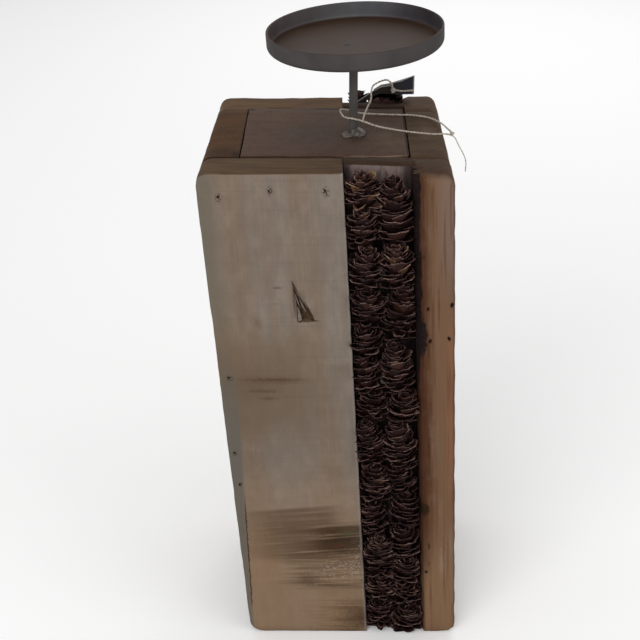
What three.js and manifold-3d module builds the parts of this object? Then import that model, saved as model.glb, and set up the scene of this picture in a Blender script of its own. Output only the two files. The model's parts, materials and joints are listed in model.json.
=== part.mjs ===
// Candle holder: a hollow block of reclaimed boards with larch cones set in a slot on its
// front and back, and a pillar candle dish on a steel stem.
// Millimetres and degrees. +X is right seen from the front, +Y is back, +Z is up.
// The origin is the middle of the block's base.

import * as THREE from 'three';
import { mergeVertices } from 'three/addons/utils/BufferGeometryUtils.js';
import Module from 'manifold-3d';

const wasm = await Module();
wasm.setup();

// Block
const blockWidth = 140;
const blockDepth = 120;
const blockHeight = 345;
const leanAngle = 2.7;
const topEdgeRadius = 7;
const bottomLeftEdgeRadius = 9.5;
const bottomRightEdgeRadius = 12;
const arris = 0.7;
const boardGap = 0.3;

// Boards
const faceBoardThickness = 22.5;
const sideBoardThickness = 22;
const narrowBoardWidth = 22;
const slotWidth = 38;
const waneAtTop = 5;
const waneAtBase = 2.5;
const waneDepth = 7;
const panelThickness = 20;
const panelGap = 0.6;
const backingThickness = 9;

// Cones
const coneGap = 0.3;
const coneWhorlPitch = 6.5;
const coneScales = 4;
const coneScallop = 0.9;
const coneDepth = 13.8;
const coneTipForward = 1.2;
const frontConeInset = 4;
const backConeRise = 5;
const coneTurn = 2.4;
const coneWidestShare = 0.4;
const coneTaperShare = 0.74;
const coneTaperPower = 3;
const coneFootReach = 0.6;
const coneCreviceReach = 0.66;
const coneNotchReach = 0.84;
const coneLipDrop = 0.1;
const coneCreviceDrop = 0.55;
const frontLeftCones = [28, 22, 36, 28, 31, 36, 20, 27, 21, 26, 29, 22, 20];
const frontRightCones = [20, 19, 24, 29, 28, 20, 38, 20, 38, 36, 28, 41];
const backLeftCones = [38, 30, 36, 28, 40, 33, 29, 37, 34, 36];
const backRightCones = [34, 42, 36, 39, 33, 41, 35, 40, 41];

// Dish and stem
const dishRadius = 50;
const dishHeight = 9.2;
const dishSheet = 1.2;
const dishBendRadius = 2.5;
const dishOffset = 1;
const stemRadius = 2.5;
const stemX = 0;
const stemY = 1.5;
const stemReach = 53.8;
const stemSeatDepth = 14;
const stemClearance = 0.3;
const glueRadius = 4;
const glueHeight = 2.4;
const glueShiftX = 1.9;
const glueShiftY = -1.7;

// Tag and twine
const twineRadius = 0.65;
const tagThickness = 0.8;
const tagHoleRadius = 1.6;
const tagY = 48;

const leanPerHeight = Math.tan(THREE.MathUtils.degToRad(leanAngle));
const leanRadians = THREE.MathUtils.degToRad(leanAngle);
const halfWidth = blockWidth / 2;
const halfDepth = blockDepth / 2;
const innerLeft = -halfWidth + sideBoardThickness;
const innerRight = halfWidth - sideBoardThickness;
const innerHalfDepth = halfDepth - faceBoardThickness;
const slotRight = halfWidth - narrowBoardWidth;
const slotLeft = slotRight - slotWidth;

const finish = (color, roughness, metalness = 0) =>
  new THREE.MeshStandardMaterial({ color, roughness, metalness });
const materials = {
  greyPine: finish(0x8f8476, 0.9),
  redPine: finish(0x8c6a4c, 0.85),
  sidePine: finish(0x6a5038, 0.9),
  panelPine: finish(0x7d6f60, 0.9),
  innerPine: finish(0x7a644c, 0.95),
  cone: finish(0x3a2a22, 0.9),
  steel: finish(0x55504d, 0.5, 0.8),
  glue: finish(0xb4b0a8, 0.4),
  card: finish(0x2c2a2c, 0.9),
  twine: finish(0xc9bfae, 1),
};

const holder = new THREE.Group();

function addMesh(name, geometry, material) {
  const mesh = new THREE.Mesh(geometry, material);
  mesh.name = name;
  holder.add(mesh);
  return mesh;
}

// Booleans

function toSolid(geometry) {
  const bare = geometry.clone();
  bare.deleteAttribute('normal');
  bare.deleteAttribute('uv');
  const merged = mergeVertices(bare, 1e-4);
  return new wasm.Manifold(new wasm.Mesh({
    numProp: 3,
    vertProperties: merged.attributes.position.array,
    triVerts: new Uint32Array(merged.index.array),
  }));
}

function toGeometry(solid) {
  const mesh = solid.getMesh();
  const geometry = new THREE.BufferGeometry();
  geometry.setAttribute('position', new THREE.BufferAttribute(mesh.vertProperties, 3));
  geometry.setIndex(new THREE.BufferAttribute(mesh.triVerts, 1));
  geometry.computeVertexNormals();
  return geometry;
}

// Boards. Every board is an outline in the X-Z plane, leaning with the block, run along Y.

function leaningCorner(x, z, radius = 0) {
  return { point: new THREE.Vector2(x - leanPerHeight * z, z), radius };
}

function filletPoints(before, corner, after, radius) {
  const toBefore = before.clone().sub(corner).normalize();
  const toAfter = after.clone().sub(corner).normalize();
  const halfAngle = Math.acos(toBefore.dot(toAfter)) / 2;
  const toCentre = toBefore.clone().add(toAfter).normalize();
  const centre = toCentre.multiplyScalar(radius / Math.sin(halfAngle)).add(corner);
  const tangent = radius / Math.tan(halfAngle);
  const start = toBefore.multiplyScalar(tangent).add(corner).sub(centre).angle();
  const end = toAfter.multiplyScalar(tangent).add(corner).sub(centre).angle();
  return new THREE.ArcCurve(centre.x, centre.y, radius, start, end, false).getPoints(5);
}

function roundedOutline(corners) {
  const points = corners.flatMap(({ point, radius }, i) => {
    if (radius === 0) return [point];
    const before = corners[(i + corners.length - 1) % corners.length].point;
    const after = corners[(i + 1) % corners.length].point;
    return filletPoints(before, point, after, radius);
  });
  return new THREE.Shape(points);
}

function boardGeometry(corners, thickness) {
  const geometry = new THREE.ExtrudeGeometry(roundedOutline(corners), {
    depth: thickness - 2 * arris,
    bevelThickness: arris,
    bevelSize: arris,
    bevelOffset: -arris,
    bevelSegments: 1,
  });
  geometry.translate(0, 0, arris);
  geometry.rotateX(Math.PI / 2);
  return geometry;
}

function boardCorners(left, right, low, high, radii = {}) {
  return [
    leaningCorner(left, low, radii.lowLeft),
    leaningCorner(right, low, radii.lowRight),
    leaningCorner(right, high, radii.highRight),
    leaningCorner(left, high, radii.highLeft),
  ];
}

const leftRadii = { lowLeft: bottomLeftEdgeRadius, highLeft: topEdgeRadius };
const rightRadii = { lowRight: bottomRightEdgeRadius, highRight: topEdgeRadius };

// The narrow boards keep the tree's rounded outer edge towards the slot, wider at the top.

function waneCutter(facing) {
  const over = 1;
  const section = (z, width) => [
    [slotRight - over, -over], [slotRight + width, -over], [slotRight - over, waneDepth],
  ].map(([x, inward]) => [x - leanPerHeight * z, facing * (halfDepth - inward), z]);
  const slope = (waneAtTop - waneAtBase) / blockHeight;
  const vertices = [
    ...section(-over, waneAtBase - over * slope),
    ...section(blockHeight + over, waneAtTop + over * slope),
  ];
  const faces = [0, 1, 2, 3, 5, 4, 0, 3, 4, 0, 4, 1, 1, 4, 5, 1, 5, 2, 2, 5, 3, 2, 3, 0];
  if (facing < 0) faces.reverse();
  const geometry = new THREE.BufferGeometry();
  geometry.setAttribute('position', new THREE.Float32BufferAttribute(vertices.flat(), 3));
  geometry.setIndex(faces);
  return toSolid(geometry);
}

function addFaceBoards() {
  const wide = boardCorners(-halfWidth, slotLeft, 0, blockHeight, leftRadii);
  const narrow = boardCorners(slotRight, halfWidth, 0, blockHeight, rightRadii);
  for (const [side, inside, facing] of [['front', -innerHalfDepth, -1], ['back', halfDepth, 1]]) {
    const left = boardGeometry(wide, faceBoardThickness).translate(0, inside, 0);
    const right = boardGeometry(narrow, faceBoardThickness).translate(0, inside, 0);
    addMesh(`${side}_left_board`, left, materials.greyPine);
    const waned = toSolid(right).subtract(waneCutter(facing));
    addMesh(`${side}_right_board`, toGeometry(waned), materials.redPine);
  }
}

function addSideBoards() {
  const depth = 2 * (innerHalfDepth - boardGap);
  const left = boardCorners(-halfWidth, innerLeft, 0, blockHeight, leftRadii);
  const right = boardCorners(innerRight, halfWidth, 0, blockHeight, rightRadii);
  for (const [side, corners] of [['left', left], ['right', right]]) {
    const board = addMesh(`${side}_side_board`, boardGeometry(corners, depth), materials.sidePine);
    board.position.y = innerHalfDepth - boardGap;
  }
}

function panelGeometry(low, high) {
  const corners = boardCorners(innerLeft + panelGap, innerRight - panelGap, low, high);
  const depth = 2 * (innerHalfDepth - panelGap);
  return boardGeometry(corners, depth).translate(0, innerHalfDepth - panelGap, 0);
}

function stemHole() {
  const hole = new THREE.CylinderGeometry(
    stemRadius + stemClearance, stemRadius + stemClearance, 2 * stemSeatDepth, 24);
  return toSolid(hole.rotateX(Math.PI / 2).translate(stemX, stemY, blockHeight));
}

function addPanels() {
  const top = toSolid(panelGeometry(blockHeight - panelThickness, blockHeight));
  addMesh('top_panel', toGeometry(top.subtract(stemHole())), materials.panelPine);
  addMesh('bottom_panel', panelGeometry(0, panelThickness), materials.innerPine);
}

// A strip nailed to the panels closes each slot behind its cones.

function addConeBackings() {
  const corners = boardCorners(slotLeft + boardGap, slotRight - boardGap, 0, blockHeight);
  const inside = innerHalfDepth + boardGap;
  const front = boardGeometry(corners, backingThickness).translate(0, -inside, 0);
  const back = boardGeometry(corners, backingThickness).translate(0, inside + backingThickness, 0);
  addMesh('front_cone_backing', front, materials.innerPine);
  addMesh('back_cone_backing', back, materials.innerPine);
}

// Larch cones. A cone is a lathed zigzag: each whorl rises to a free lip and drops back into
// the crevice behind it. Every lip is notched into scales, and each ring turns on from the
// one below by a quarter of a scale, so the scales stand in spirals.

function lipRadius(share) {
  return Math.sqrt(1 - (Math.abs(share - coneWidestShare) / coneTaperShare) ** coneTaperPower);
}

function coneProfile(length, radius, whorls) {
  const pitch = length / (whorls + 0.5);
  const points = [new THREE.Vector2(0, 0), new THREE.Vector2(coneFootReach * radius, 0)];
  for (let whorl = 1; whorl <= whorls; whorl += 1) {
    const lip = radius * lipRadius(whorl / whorls);
    points.push(new THREE.Vector2(lip, pitch * (whorl - coneLipDrop)));
    points.push(new THREE.Vector2(coneCreviceReach * lip, pitch * (whorl - coneCreviceDrop)));
  }
  points.push(new THREE.Vector2(0, length));
  return points;
}

function coneGeometry(length, radius) {
  const whorls = Math.round(length / coneWhorlPitch);
  const profile = coneProfile(length, radius, whorls);
  const steps = 3 * coneScales;
  const turnPerRing = Math.PI / coneScales / 2;
  const geometry = new THREE.LatheGeometry(profile, steps);
  const position = geometry.attributes.position;
  for (let i = 0; i < position.count; i += 1) {
    const ring = i % profile.length;
    const step = Math.floor(i / profile.length) % steps;
    const isLip = ring >= 2 && ring % 2 === 0 && ring < profile.length - 1;
    const isNotch = isLip && step % 3 === 0;
    const rise = isNotch ? -coneScallop : coneScallop;
    const angle = 2 * Math.PI * step / steps + ring * turnPerRing;
    const reach = profile[ring].x * (isNotch ? coneNotchReach : 1);
    const height = profile[ring].y + (isLip ? rise : 0);
    position.setXYZ(i, reach * Math.sin(angle), height, reach * Math.cos(angle));
  }
  return geometry.rotateX(Math.PI / 2);
}

function addConeColumn(name, lengths, column, facing, columnTop) {
  const width = (slotWidth - 3 * coneGap) / 2;
  const radius = width / 2;
  const x = slotLeft + coneGap + radius + column * (width + coneGap);
  const y = facing * (innerHalfDepth + boardGap + backingThickness + coneGap + coneDepth / 2);
  const room = columnTop - coneGap * lengths.length;
  const fill = room / lengths.reduce((sum, length) => sum + length, 0);
  let low = coneGap;
  lengths.forEach((nominal, i) => {
    const length = nominal * fill;
    const tilt = Math.asin(coneTipForward / length);
    const pivot = new THREE.Group();
    pivot.position.set(x - leanPerHeight * low, y, low);
    pivot.rotation.set(facing * -tilt, -leanRadians, 0);
    const geometry = coneGeometry(length, radius).rotateZ(i * coneTurn).scale(1, coneDepth / width, 1);
    const cone = new THREE.Mesh(geometry, materials.cone);
    cone.name = `${name}_${String(i + 1).padStart(2, '0')}`;
    pivot.add(cone);
    holder.add(pivot);
    low += length + coneGap;
  });
}

// Dish, stem and glue

function addDish() {
  const outer = new THREE.Path();
  outer.moveTo(0, 0);
  outer.lineTo(dishRadius - dishBendRadius, 0);
  outer.absarc(dishRadius - dishBendRadius, dishBendRadius, dishBendRadius, -Math.PI / 2, 0, false);
  outer.absarc(dishRadius - dishSheet / 2, dishHeight - dishSheet / 2, dishSheet / 2, 0, Math.PI, false);
  const innerBend = dishBendRadius - dishSheet;
  outer.absarc(dishRadius - dishBendRadius, dishBendRadius, innerBend, 0, -Math.PI / 2, true);
  outer.lineTo(0, dishSheet);
  const geometry = new THREE.LatheGeometry(outer.getPoints(2), 40).rotateX(Math.PI / 2);
  const dish = addMesh('candle_dish', geometry, materials.steel);
  dish.position.set(stemX + dishOffset, stemY, blockHeight + stemReach);
  dish.rotation.y = -leanRadians;
}

function addStem() {
  const low = blockHeight - stemSeatDepth + stemClearance;
  const high = blockHeight + stemReach - 2 * stemClearance;
  const geometry = new THREE.CylinderGeometry(stemRadius, stemRadius, high - low, 24).rotateX(Math.PI / 2);
  const stem = addMesh('dish_stem', geometry, materials.steel);
  stem.position.set(stemX, stemY, (low + high) / 2);
}

function addGlueBead() {
  const dome = new THREE.Path();
  dome.moveTo(0, stemClearance);
  dome.lineTo(glueRadius, stemClearance);
  dome.quadraticCurveTo(glueRadius, glueHeight, 0, glueHeight);
  const bead = new THREE.LatheGeometry(dome.getPoints(5), 20).rotateX(Math.PI / 2);
  bead.translate(stemX + glueShiftX, stemY + glueShiftY, blockHeight);
  addMesh('glue_bead', toGeometry(toSolid(bead).subtract(stemHole())), materials.glue);
}

// Tag and twine

const top = blockHeight;

const tagStations = [
  { x: 3, fold: -1.5, low: 1.4, high: 2.2 },
  { x: 17.5, fold: 0, low: 1.4, high: 12.2 },
  { x: 23, fold: 0, low: 1.4, high: 13.2 },
  { x: 38, fold: 0, low: 1.4, high: 18.2 },
];

function foldedCard(stations) {
  const half = tagThickness / 2;
  const vertices = stations.flatMap(({ x, fold, low, high }) => [
    x, tagY + fold - half, top + low,
    x, tagY + fold - half, top + high,
    x, tagY + fold + half, top + high,
    x, tagY + fold + half, top + low,
  ]);
  const quad = (a, b, c, d) => [a, b, c, a, c, d];
  const last = 4 * (stations.length - 1);
  const faces = [...quad(0, 1, 2, 3), ...quad(last, last + 3, last + 2, last + 1)];
  for (let station = 0; station < last; station += 4) {
    for (let side = 0; side < 4; side += 1) {
      const next = (side + 1) % 4;
      faces.push(...quad(station + side, station + 4 + side, station + 4 + next, station + next));
    }
  }
  const geometry = new THREE.BufferGeometry();
  geometry.setAttribute('position', new THREE.Float32BufferAttribute(vertices, 3));
  geometry.setIndex(faces);
  geometry.computeVertexNormals();
  return geometry;
}

const tagHole = new THREE.Vector3(25, tagY, 9);

function addTag() {
  const hole = new THREE.CylinderGeometry(tagHoleRadius, tagHoleRadius, 6 * tagThickness, 12);
  hole.translate(tagHole.x, tagHole.y, top + tagHole.z);
  addMesh('hang_tag', toGeometry(toSolid(foldedCard(tagStations)).subtract(toSolid(hole))), materials.card);
}

const twineRoute = [
  [64, -24, -14], [64, -22, -8], [60.5, -15, -2], [57, -7.5, 1.4],
  [44.8, -4, 1], [31, -1, 1.4], [21.5, -2, 3.4], [13, -3, 5.8], [5.5, -3, 8.6],
  [0, -2.6, 10], [-5, -1.5, 10.6], [-7.5, 6, 11.4], [-6.5, 14, 9.5],
  [-1.5, 20, 6.5], [3.5, 24, 3.5], [12, 27.5, 1.4], [27, 27, 1], [37, 26, 1],
  [45.5, 22, 1], [51.7, 14, 1], [55.5, 3, 1.2], [57, -4.5, 2.2],
];

const tagLoopRoute = [
  [5.5, -1.9, 8.7], [6.4, 4, 9.7], [8.4, 14, 10.6], [11, 30, 10], [11.5, 44, 9.6], [13, 49.8, 11.5],
  [18, 50.2, 14.2], [21.5, 48.6, 15.2], [24, 46.4, 13.5], [25, 46.2, 10.4],
  [30, 46.4, 8.6], [36.5, 46.4, 8.2], [39.8, 47.2, 8], [39.8, 49.2, 7.6], [33, 49.8, 7.4],
];

function addTwine(name, route, steps) {
  const points = route.map(([x, y, height]) => new THREE.Vector3(x, y, top + height));
  const section = new THREE.Shape();
  section.absarc(0, 0, twineRadius, 0, 2 * Math.PI, false);
  const geometry = new THREE.ExtrudeGeometry(section, {
    steps,
    curveSegments: 4,
    extrudePath: new THREE.CatmullRomCurve3(points),
  });
  addMesh(name, geometry, materials.twine);
}

addFaceBoards();
addSideBoards();
addPanels();
addConeBackings();
addConeColumn('front_left_cone', frontLeftCones, 0, -1, blockHeight - frontConeInset);
addConeColumn('front_right_cone', frontRightCones, 1, -1, blockHeight - frontConeInset);
addConeColumn('back_left_cone', backLeftCones, 0, 1, blockHeight + backConeRise);
addConeColumn('back_right_cone', backRightCones, 1, 1, blockHeight + backConeRise);
addDish();
addStem();
addGlueBead();
addTag();
addTwine('tag_twine', twineRoute, 50);
addTwine('tag_loop', tagLoopRoute, 22);

export default holder;
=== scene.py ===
# %% [markdown]
# # A candle holder of old boards and larch cones
# The real object is a hollow block nailed from reclaimed pine boards. A slot down its front and
# back is filled with larch cones. A rod on top carries a steel dish for a pillar candle, and a
# card tag hangs from the rod on jute twine. The CAD model gives every size and place, so this
# notebook only dresses it: it makes finer cones, twine and metal, and paints the wood.

import json
import math

import bmesh
import bpy
import numpy as np
from mathutils import Euler, Matrix, Vector
from mathutils import noise as perlin

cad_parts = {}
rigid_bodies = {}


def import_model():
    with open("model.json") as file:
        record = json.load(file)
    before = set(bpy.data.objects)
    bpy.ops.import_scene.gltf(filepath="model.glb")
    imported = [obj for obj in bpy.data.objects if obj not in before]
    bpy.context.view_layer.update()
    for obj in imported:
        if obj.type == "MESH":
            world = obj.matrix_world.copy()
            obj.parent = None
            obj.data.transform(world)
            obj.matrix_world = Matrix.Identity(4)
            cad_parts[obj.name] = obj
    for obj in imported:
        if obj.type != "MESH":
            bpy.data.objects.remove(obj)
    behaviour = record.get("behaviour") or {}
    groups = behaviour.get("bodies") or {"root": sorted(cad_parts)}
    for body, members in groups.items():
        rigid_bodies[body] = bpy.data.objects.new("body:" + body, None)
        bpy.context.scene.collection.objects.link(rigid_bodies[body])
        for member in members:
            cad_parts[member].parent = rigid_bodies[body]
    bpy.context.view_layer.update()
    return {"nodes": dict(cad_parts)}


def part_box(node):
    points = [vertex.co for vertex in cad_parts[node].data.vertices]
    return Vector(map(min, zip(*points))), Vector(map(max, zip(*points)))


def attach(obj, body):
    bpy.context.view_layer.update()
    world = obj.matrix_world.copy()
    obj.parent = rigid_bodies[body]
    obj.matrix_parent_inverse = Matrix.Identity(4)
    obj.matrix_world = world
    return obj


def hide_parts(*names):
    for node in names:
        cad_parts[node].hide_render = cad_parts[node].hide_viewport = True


for leftover in list(bpy.data.objects):
    bpy.data.objects.remove(leftover)
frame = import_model()
nodes = frame["nodes"]

# %% [markdown]
# The block leans 2.7 degrees to the left, so a point's place across a board depends on its
# height. The same few sizes as in the CAD model are repeated here in millimetres.

# %% Sizes shared with the CAD model
MM = 0.001
BLOCK_HEIGHT, HALF_WIDTH = 345.0, 70.0
FRONT, BACK = -60.0, 60.0
LEAN = math.radians(2.7)
LEAN_SLOPE = math.tan(LEAN)
SCENE = bpy.context.scene


def leaning(x, z):
    """The x of a point that is x from the middle of the base, at height z."""
    return x - LEAN_SLOPE * z


def upright(place):
    """The other way round: how far across the block a point is, with the lean taken out."""
    return place.x + LEAN_SLOPE * place.z


def how_far(value, start, end):
    """How far a value has come on its way from start to end, as a share of 0 to 1."""
    return min(max((value - start) / (end - start), 0), 1)


print("lean of the top in millimetres:", round(leaning(0, BLOCK_HEIGHT), 2))

# %% [markdown]
# The camera stands where the photographer stood: a little left of the middle, half a metre in
# front of the block and looking down at 31 degrees. A matrix made of its own three axes is
# the surest way to place it, because a fitted roll is easy to lose in Euler angles.

# %% Camera
EYE = Vector((-0.0072, -0.6295, 0.5969))
PITCH, YAW, ROLL = math.radians(31.08), math.radians(1.26), math.radians(-0.80)
FOCAL_PIXELS, PHOTO_PIXELS = 1142.0, 640.0

ahead = Vector((-math.cos(PITCH) * math.sin(YAW), math.cos(PITCH) * math.cos(YAW), -math.sin(PITCH)))
right = Vector((math.cos(YAW), math.sin(YAW), 0))
above = right.cross(ahead)
camera_x = math.cos(ROLL) * right + math.sin(ROLL) * above
camera_y = math.cos(ROLL) * above - math.sin(ROLL) * right
camera = bpy.data.objects.new("camera", bpy.data.cameras.new("camera"))
camera.data.lens = FOCAL_PIXELS / PHOTO_PIXELS * camera.data.sensor_width
axes = Matrix((camera_x, camera_y, -ahead)).transposed()
camera.matrix_world = Matrix.Translation(EYE) @ axes.to_4x4()
SCENE.collection.objects.link(camera)
SCENE.camera = camera
print("lens in millimetres:", round(camera.data.lens, 2))

# %% [markdown]
# Every material and every Geometry Nodes tree below is a graph. One small function adds a
# node, sets it up and links it, so that a graph reads from top to bottom like a recipe. A
# node that feeds another one stands for its first output in use.

# %% Helpers for node graphs
def linear(hex_colour):
    """An sRGB hex colour as the linear RGBA that Blender's sockets hold."""
    shares = [int(hex_colour[i:i + 2], 16) / 255 for i in (1, 3, 5)]
    return [s / 12.92 if s <= 0.04045 else ((s + 0.055) / 1.055) ** 2.4 for s in shares] + [1.0]


def node(tree, kind, inputs=None, stops=None, **settings):
    """Add a node. The short kind Math means ShaderNodeMath, and so on.

    An input is a value, a hex colour, or the node or socket that feeds it.
    """
    made = tree.nodes.new(kind if "Node" in kind else "ShaderNode" + kind)
    for name, value in settings.items():
        setattr(made, name, value)
    for key, value in (inputs or {}).items():
        if isinstance(value, bpy.types.Node):
            value = next(output for output in value.outputs if output.enabled)
        if isinstance(value, bpy.types.NodeSocket):
            tree.links.new(value, made.inputs[key])
        else:
            made.inputs[key].default_value = linear(value) if str(value)[0] == "#" else value
    if stops:
        ramp = made.color_ramp.elements
        while len(ramp) < len(stops):
            ramp.new(1.0)
        for element, (position, colour) in zip(ramp, stops):
            element.position, element.color = position, linear(colour)
    return made


# %% Helpers for materials
def new_material(name):
    """An empty material and its graph."""
    material = bpy.data.materials.new(name)
    material.use_nodes = True
    material.node_tree.nodes.clear()
    return material, material.node_tree


def surface(tree, inputs):
    """The end of a material's graph: its shader and its output."""
    shader = node(tree, "BsdfPrincipled", inputs)
    node(tree, "OutputMaterial", {"Surface": shader})


def mottled(name, size, detail, stops, finish):
    """A material whose tones wander in blotches of about size millimetres."""
    material, tree = new_material(name)
    place = node(tree, "TexCoord").outputs["Object"]
    blotches = node(tree, "TexNoise", {"Vector": place, "Scale": 1 / (size * MM), "Detail": detail})
    surface(tree, {"Base Color": node(tree, "ValToRGB", {"Fac": blotches}, stops), **finish})
    return material


# %% Helpers for meshes
def mesh_from(form, name):
    """The mesh of a finished bmesh, which is then freed."""
    mesh = bpy.data.meshes.new(name)
    form.to_mesh(mesh)
    form.free()
    return mesh


def joined(name, parts):
    """One mesh made of several, which are then removed."""
    form = bmesh.new()
    for part in parts:
        form.from_mesh(part)
        bpy.data.meshes.remove(part)
    return mesh_from(form, name)


def keep(name, mesh, slot, *replaced, material=None):
    """Link a finished mesh as a piece that rides on the block, in place of CAD nodes."""
    piece = bpy.data.objects.new(name, mesh)
    SCENE.collection.objects.link(piece)
    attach(piece, "root")
    if replaced:
        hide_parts(*replaced)
    if material:
        mesh.materials.append(material)
    return piece


# %% [markdown]
# A Geometry Nodes tree shows its sizes as named inputs. The modifier knows an input only by
# its identifier, so this helper looks that up, runs the tree once and keeps the plain mesh.

# %% Helpers for Geometry Nodes
SOCKETS = {
    "object": "NodeSocketObject", "material": "NodeSocketMaterial", "size": "NodeSocketFloat",
    "count": "NodeSocketInt", "geometry": "NodeSocketGeometry",
}


def geometry_tree(name, inputs):
    """A new tree with these named inputs, and the sockets that give them."""
    tree = bpy.data.node_groups.new(name, "GeometryNodeTree")
    tree.is_modifier = True
    for label, kind in {"Geometry": "geometry", **inputs}.items():
        tree.interface.new_socket(name=label, in_out="INPUT", socket_type=SOCKETS[kind])
    tree.interface.new_socket(name="Geometry", in_out="OUTPUT", socket_type=SOCKETS["geometry"])
    return tree, node(tree, "NodeGroupInput").outputs


def close_tree(tree, geometry, material):
    """End a tree in real geometry with its material."""
    whole = node(tree, "GeometryNodeRealizeInstances", {"Geometry": geometry})
    finished = node(tree, "GeometryNodeSetMaterial", {"Geometry": whole, "Material": material})
    node(tree, "NodeGroupOutput", {"Geometry": finished})
    return tree


def run_tree(tree, start, values):
    """The plain mesh that the tree makes from a start object, which is then removed."""
    SCENE.collection.objects.link(start)
    modifier = start.modifiers.new(tree.name, "NODES")
    modifier.node_group = tree
    for item in tree.interface.items_tree:
        if item.in_out == "INPUT" and item.name in values:
            modifier[item.identifier] = values[item.name]
    depsgraph = bpy.context.evaluated_depsgraph_get()
    mesh = bpy.data.meshes.new_from_object(start.evaluated_get(depsgraph), depsgraph=depsgraph)
    start.modifiers.remove(modifier)
    bpy.data.objects.remove(start)
    return mesh


# %% [markdown]
# ## Twine
# Jute twine is two plies of soft brown fibre, twisted round each other, with loose hairs
# standing off. Sweeping one smooth tube along the route would look like wire. This tree
# sweeps two thin tubes that wind round the route instead, and plants hairs on them.

# %% Jute material
# Untreated jute is a dull straw colour with paler and browner fibres about 0.3 mm wide.
jute = mottled("natural_jute_twine", 0.6, 2.0, [(0.3, "#857A6E"), (0.5, "#B3A89B"), (0.7, "#D6CEC4")],
               {"Roughness": 0.9})

# %% Twine tree
HAIR_TIP, HAIR_ROOT = 0.02 * MM, 0.05 * MM
HAIR_SLANT = Vector((0.9, 0.9, 3.1))
tree, given = geometry_tree("two_ply_twine", {
    "Ply radius": "size", "Ply offset": "size", "Twist length": "size", "Hairs per square metre": "size",
    "Hair length": "size", "Material": "material",
})
smooth = node(tree, "GeometryNodeSetCurveNormal", {"Curve": given["Geometry"]}, mode="MINIMUM_TWIST")
along = node(tree, "GeometryNodeSplineParameter").outputs["Length"]
turns = node(tree, "Math", {0: along, 1: given["Twist length"]}, operation="DIVIDE")
profile = node(tree, "GeometryNodeCurvePrimitiveCircle", {"Resolution": 7, "Radius": given["Ply radius"]})
plies = node(tree, "GeometryNodeJoinGeometry")
for ply in range(2):
    angle = node(tree, "Math", {0: turns, 1: math.tau, 2: ply * math.pi}, operation="MULTIPLY_ADD")
    aside = node(tree, "VectorRotate", {
        "Vector": node(tree, "GeometryNodeInputNormal"), "Axis": node(tree, "GeometryNodeInputTangent"),
        "Angle": angle}, rotation_type="AXIS_ANGLE")
    offset = node(tree, "VectorMath", {0: aside, "Scale": given["Ply offset"]}, operation="SCALE")
    moved = node(tree, "GeometryNodeSetPosition", {"Geometry": smooth, "Offset": offset})
    tube = node(tree, "GeometryNodeCurveToMesh", {
        "Curve": moved, "Profile Curve": profile, "Fill Caps": True})
    tree.links.new(tube.outputs[0], plies.inputs[0])
roots = node(tree, "GeometryNodeDistributePointsOnFaces", {
    "Mesh": plies, "Density": given["Hairs per square metre"], "Seed": 5})
spin = node(tree, "FunctionNodeRandomValue", {0: -HAIR_SLANT, 1: HAIR_SLANT, "Seed": 8},
            data_type="FLOAT_VECTOR")
turned = node(tree, "FunctionNodeRotateRotation", {0: roots.outputs["Rotation"], 1: spin},
              rotation_space="LOCAL")
size = node(tree, "FunctionNodeRandomValue", {2: 0.4, 3: 1.0, "Seed": 13}, data_type="FLOAT")
hair = node(tree, "GeometryNodeMeshCone", {
    "Vertices": 3, "Radius Top": HAIR_TIP, "Radius Bottom": HAIR_ROOT, "Depth": given["Hair length"]})
hairs = node(tree, "GeometryNodeInstanceOnPoints", {
    "Points": roots, "Instance": hair, "Rotation": turned, "Scale": size})
both = node(tree, "GeometryNodeJoinGeometry", {0: plies})
tree.links.new(hairs.outputs[0], both.inputs[0])
twine_tree = close_tree(tree, both, given["Material"])
print("nodes in the twine's tree:", len(tree.nodes))

# %% [markdown]
# The twine's routes are those of the CAD model: points in millimetres, with their height
# above the block's top, joined by the same kind of smooth curve (a centripetal Catmull-Rom).

# %% Twine routes
# Three rounds of blending between neighbours, each between these knots of the curve.
BLENDS = (((0, 1), (1, 2), (2, 3)), ((0, 2), (1, 3)), ((1, 2),))


def smooth_route(corners, steps=10):
    """Points in metres on a centripetal Catmull-Rom curve through the corners."""
    points = [Vector((x, y, BLOCK_HEIGHT + height)) * MM for x, y, height in corners]
    points = [2 * points[0] - points[1], *points, 2 * points[-1] - points[-2]]
    route = []
    for four in zip(points, points[1:], points[2:], points[3:]):
        knots = [0.0]
        for a, b in zip(four, four[1:]):
            knots.append(knots[-1] + math.sqrt((b - a).length))
        for step in range(steps):
            t = knots[1] + (knots[2] - knots[1]) * step / steps
            level = four
            for spans in BLENDS:
                shares = [(t - knots[low]) / (knots[high] - knots[low]) for low, high in spans]
                level = [a.lerp(b, share) for a, b, share in zip(level, level[1:], shares)]
            route.append(level[0])
    return [*route, points[-2]]


def route_length(route):
    """The length of a line of points, in metres."""
    return sum((b - a).length for a, b in zip(route, route[1:]))


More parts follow.
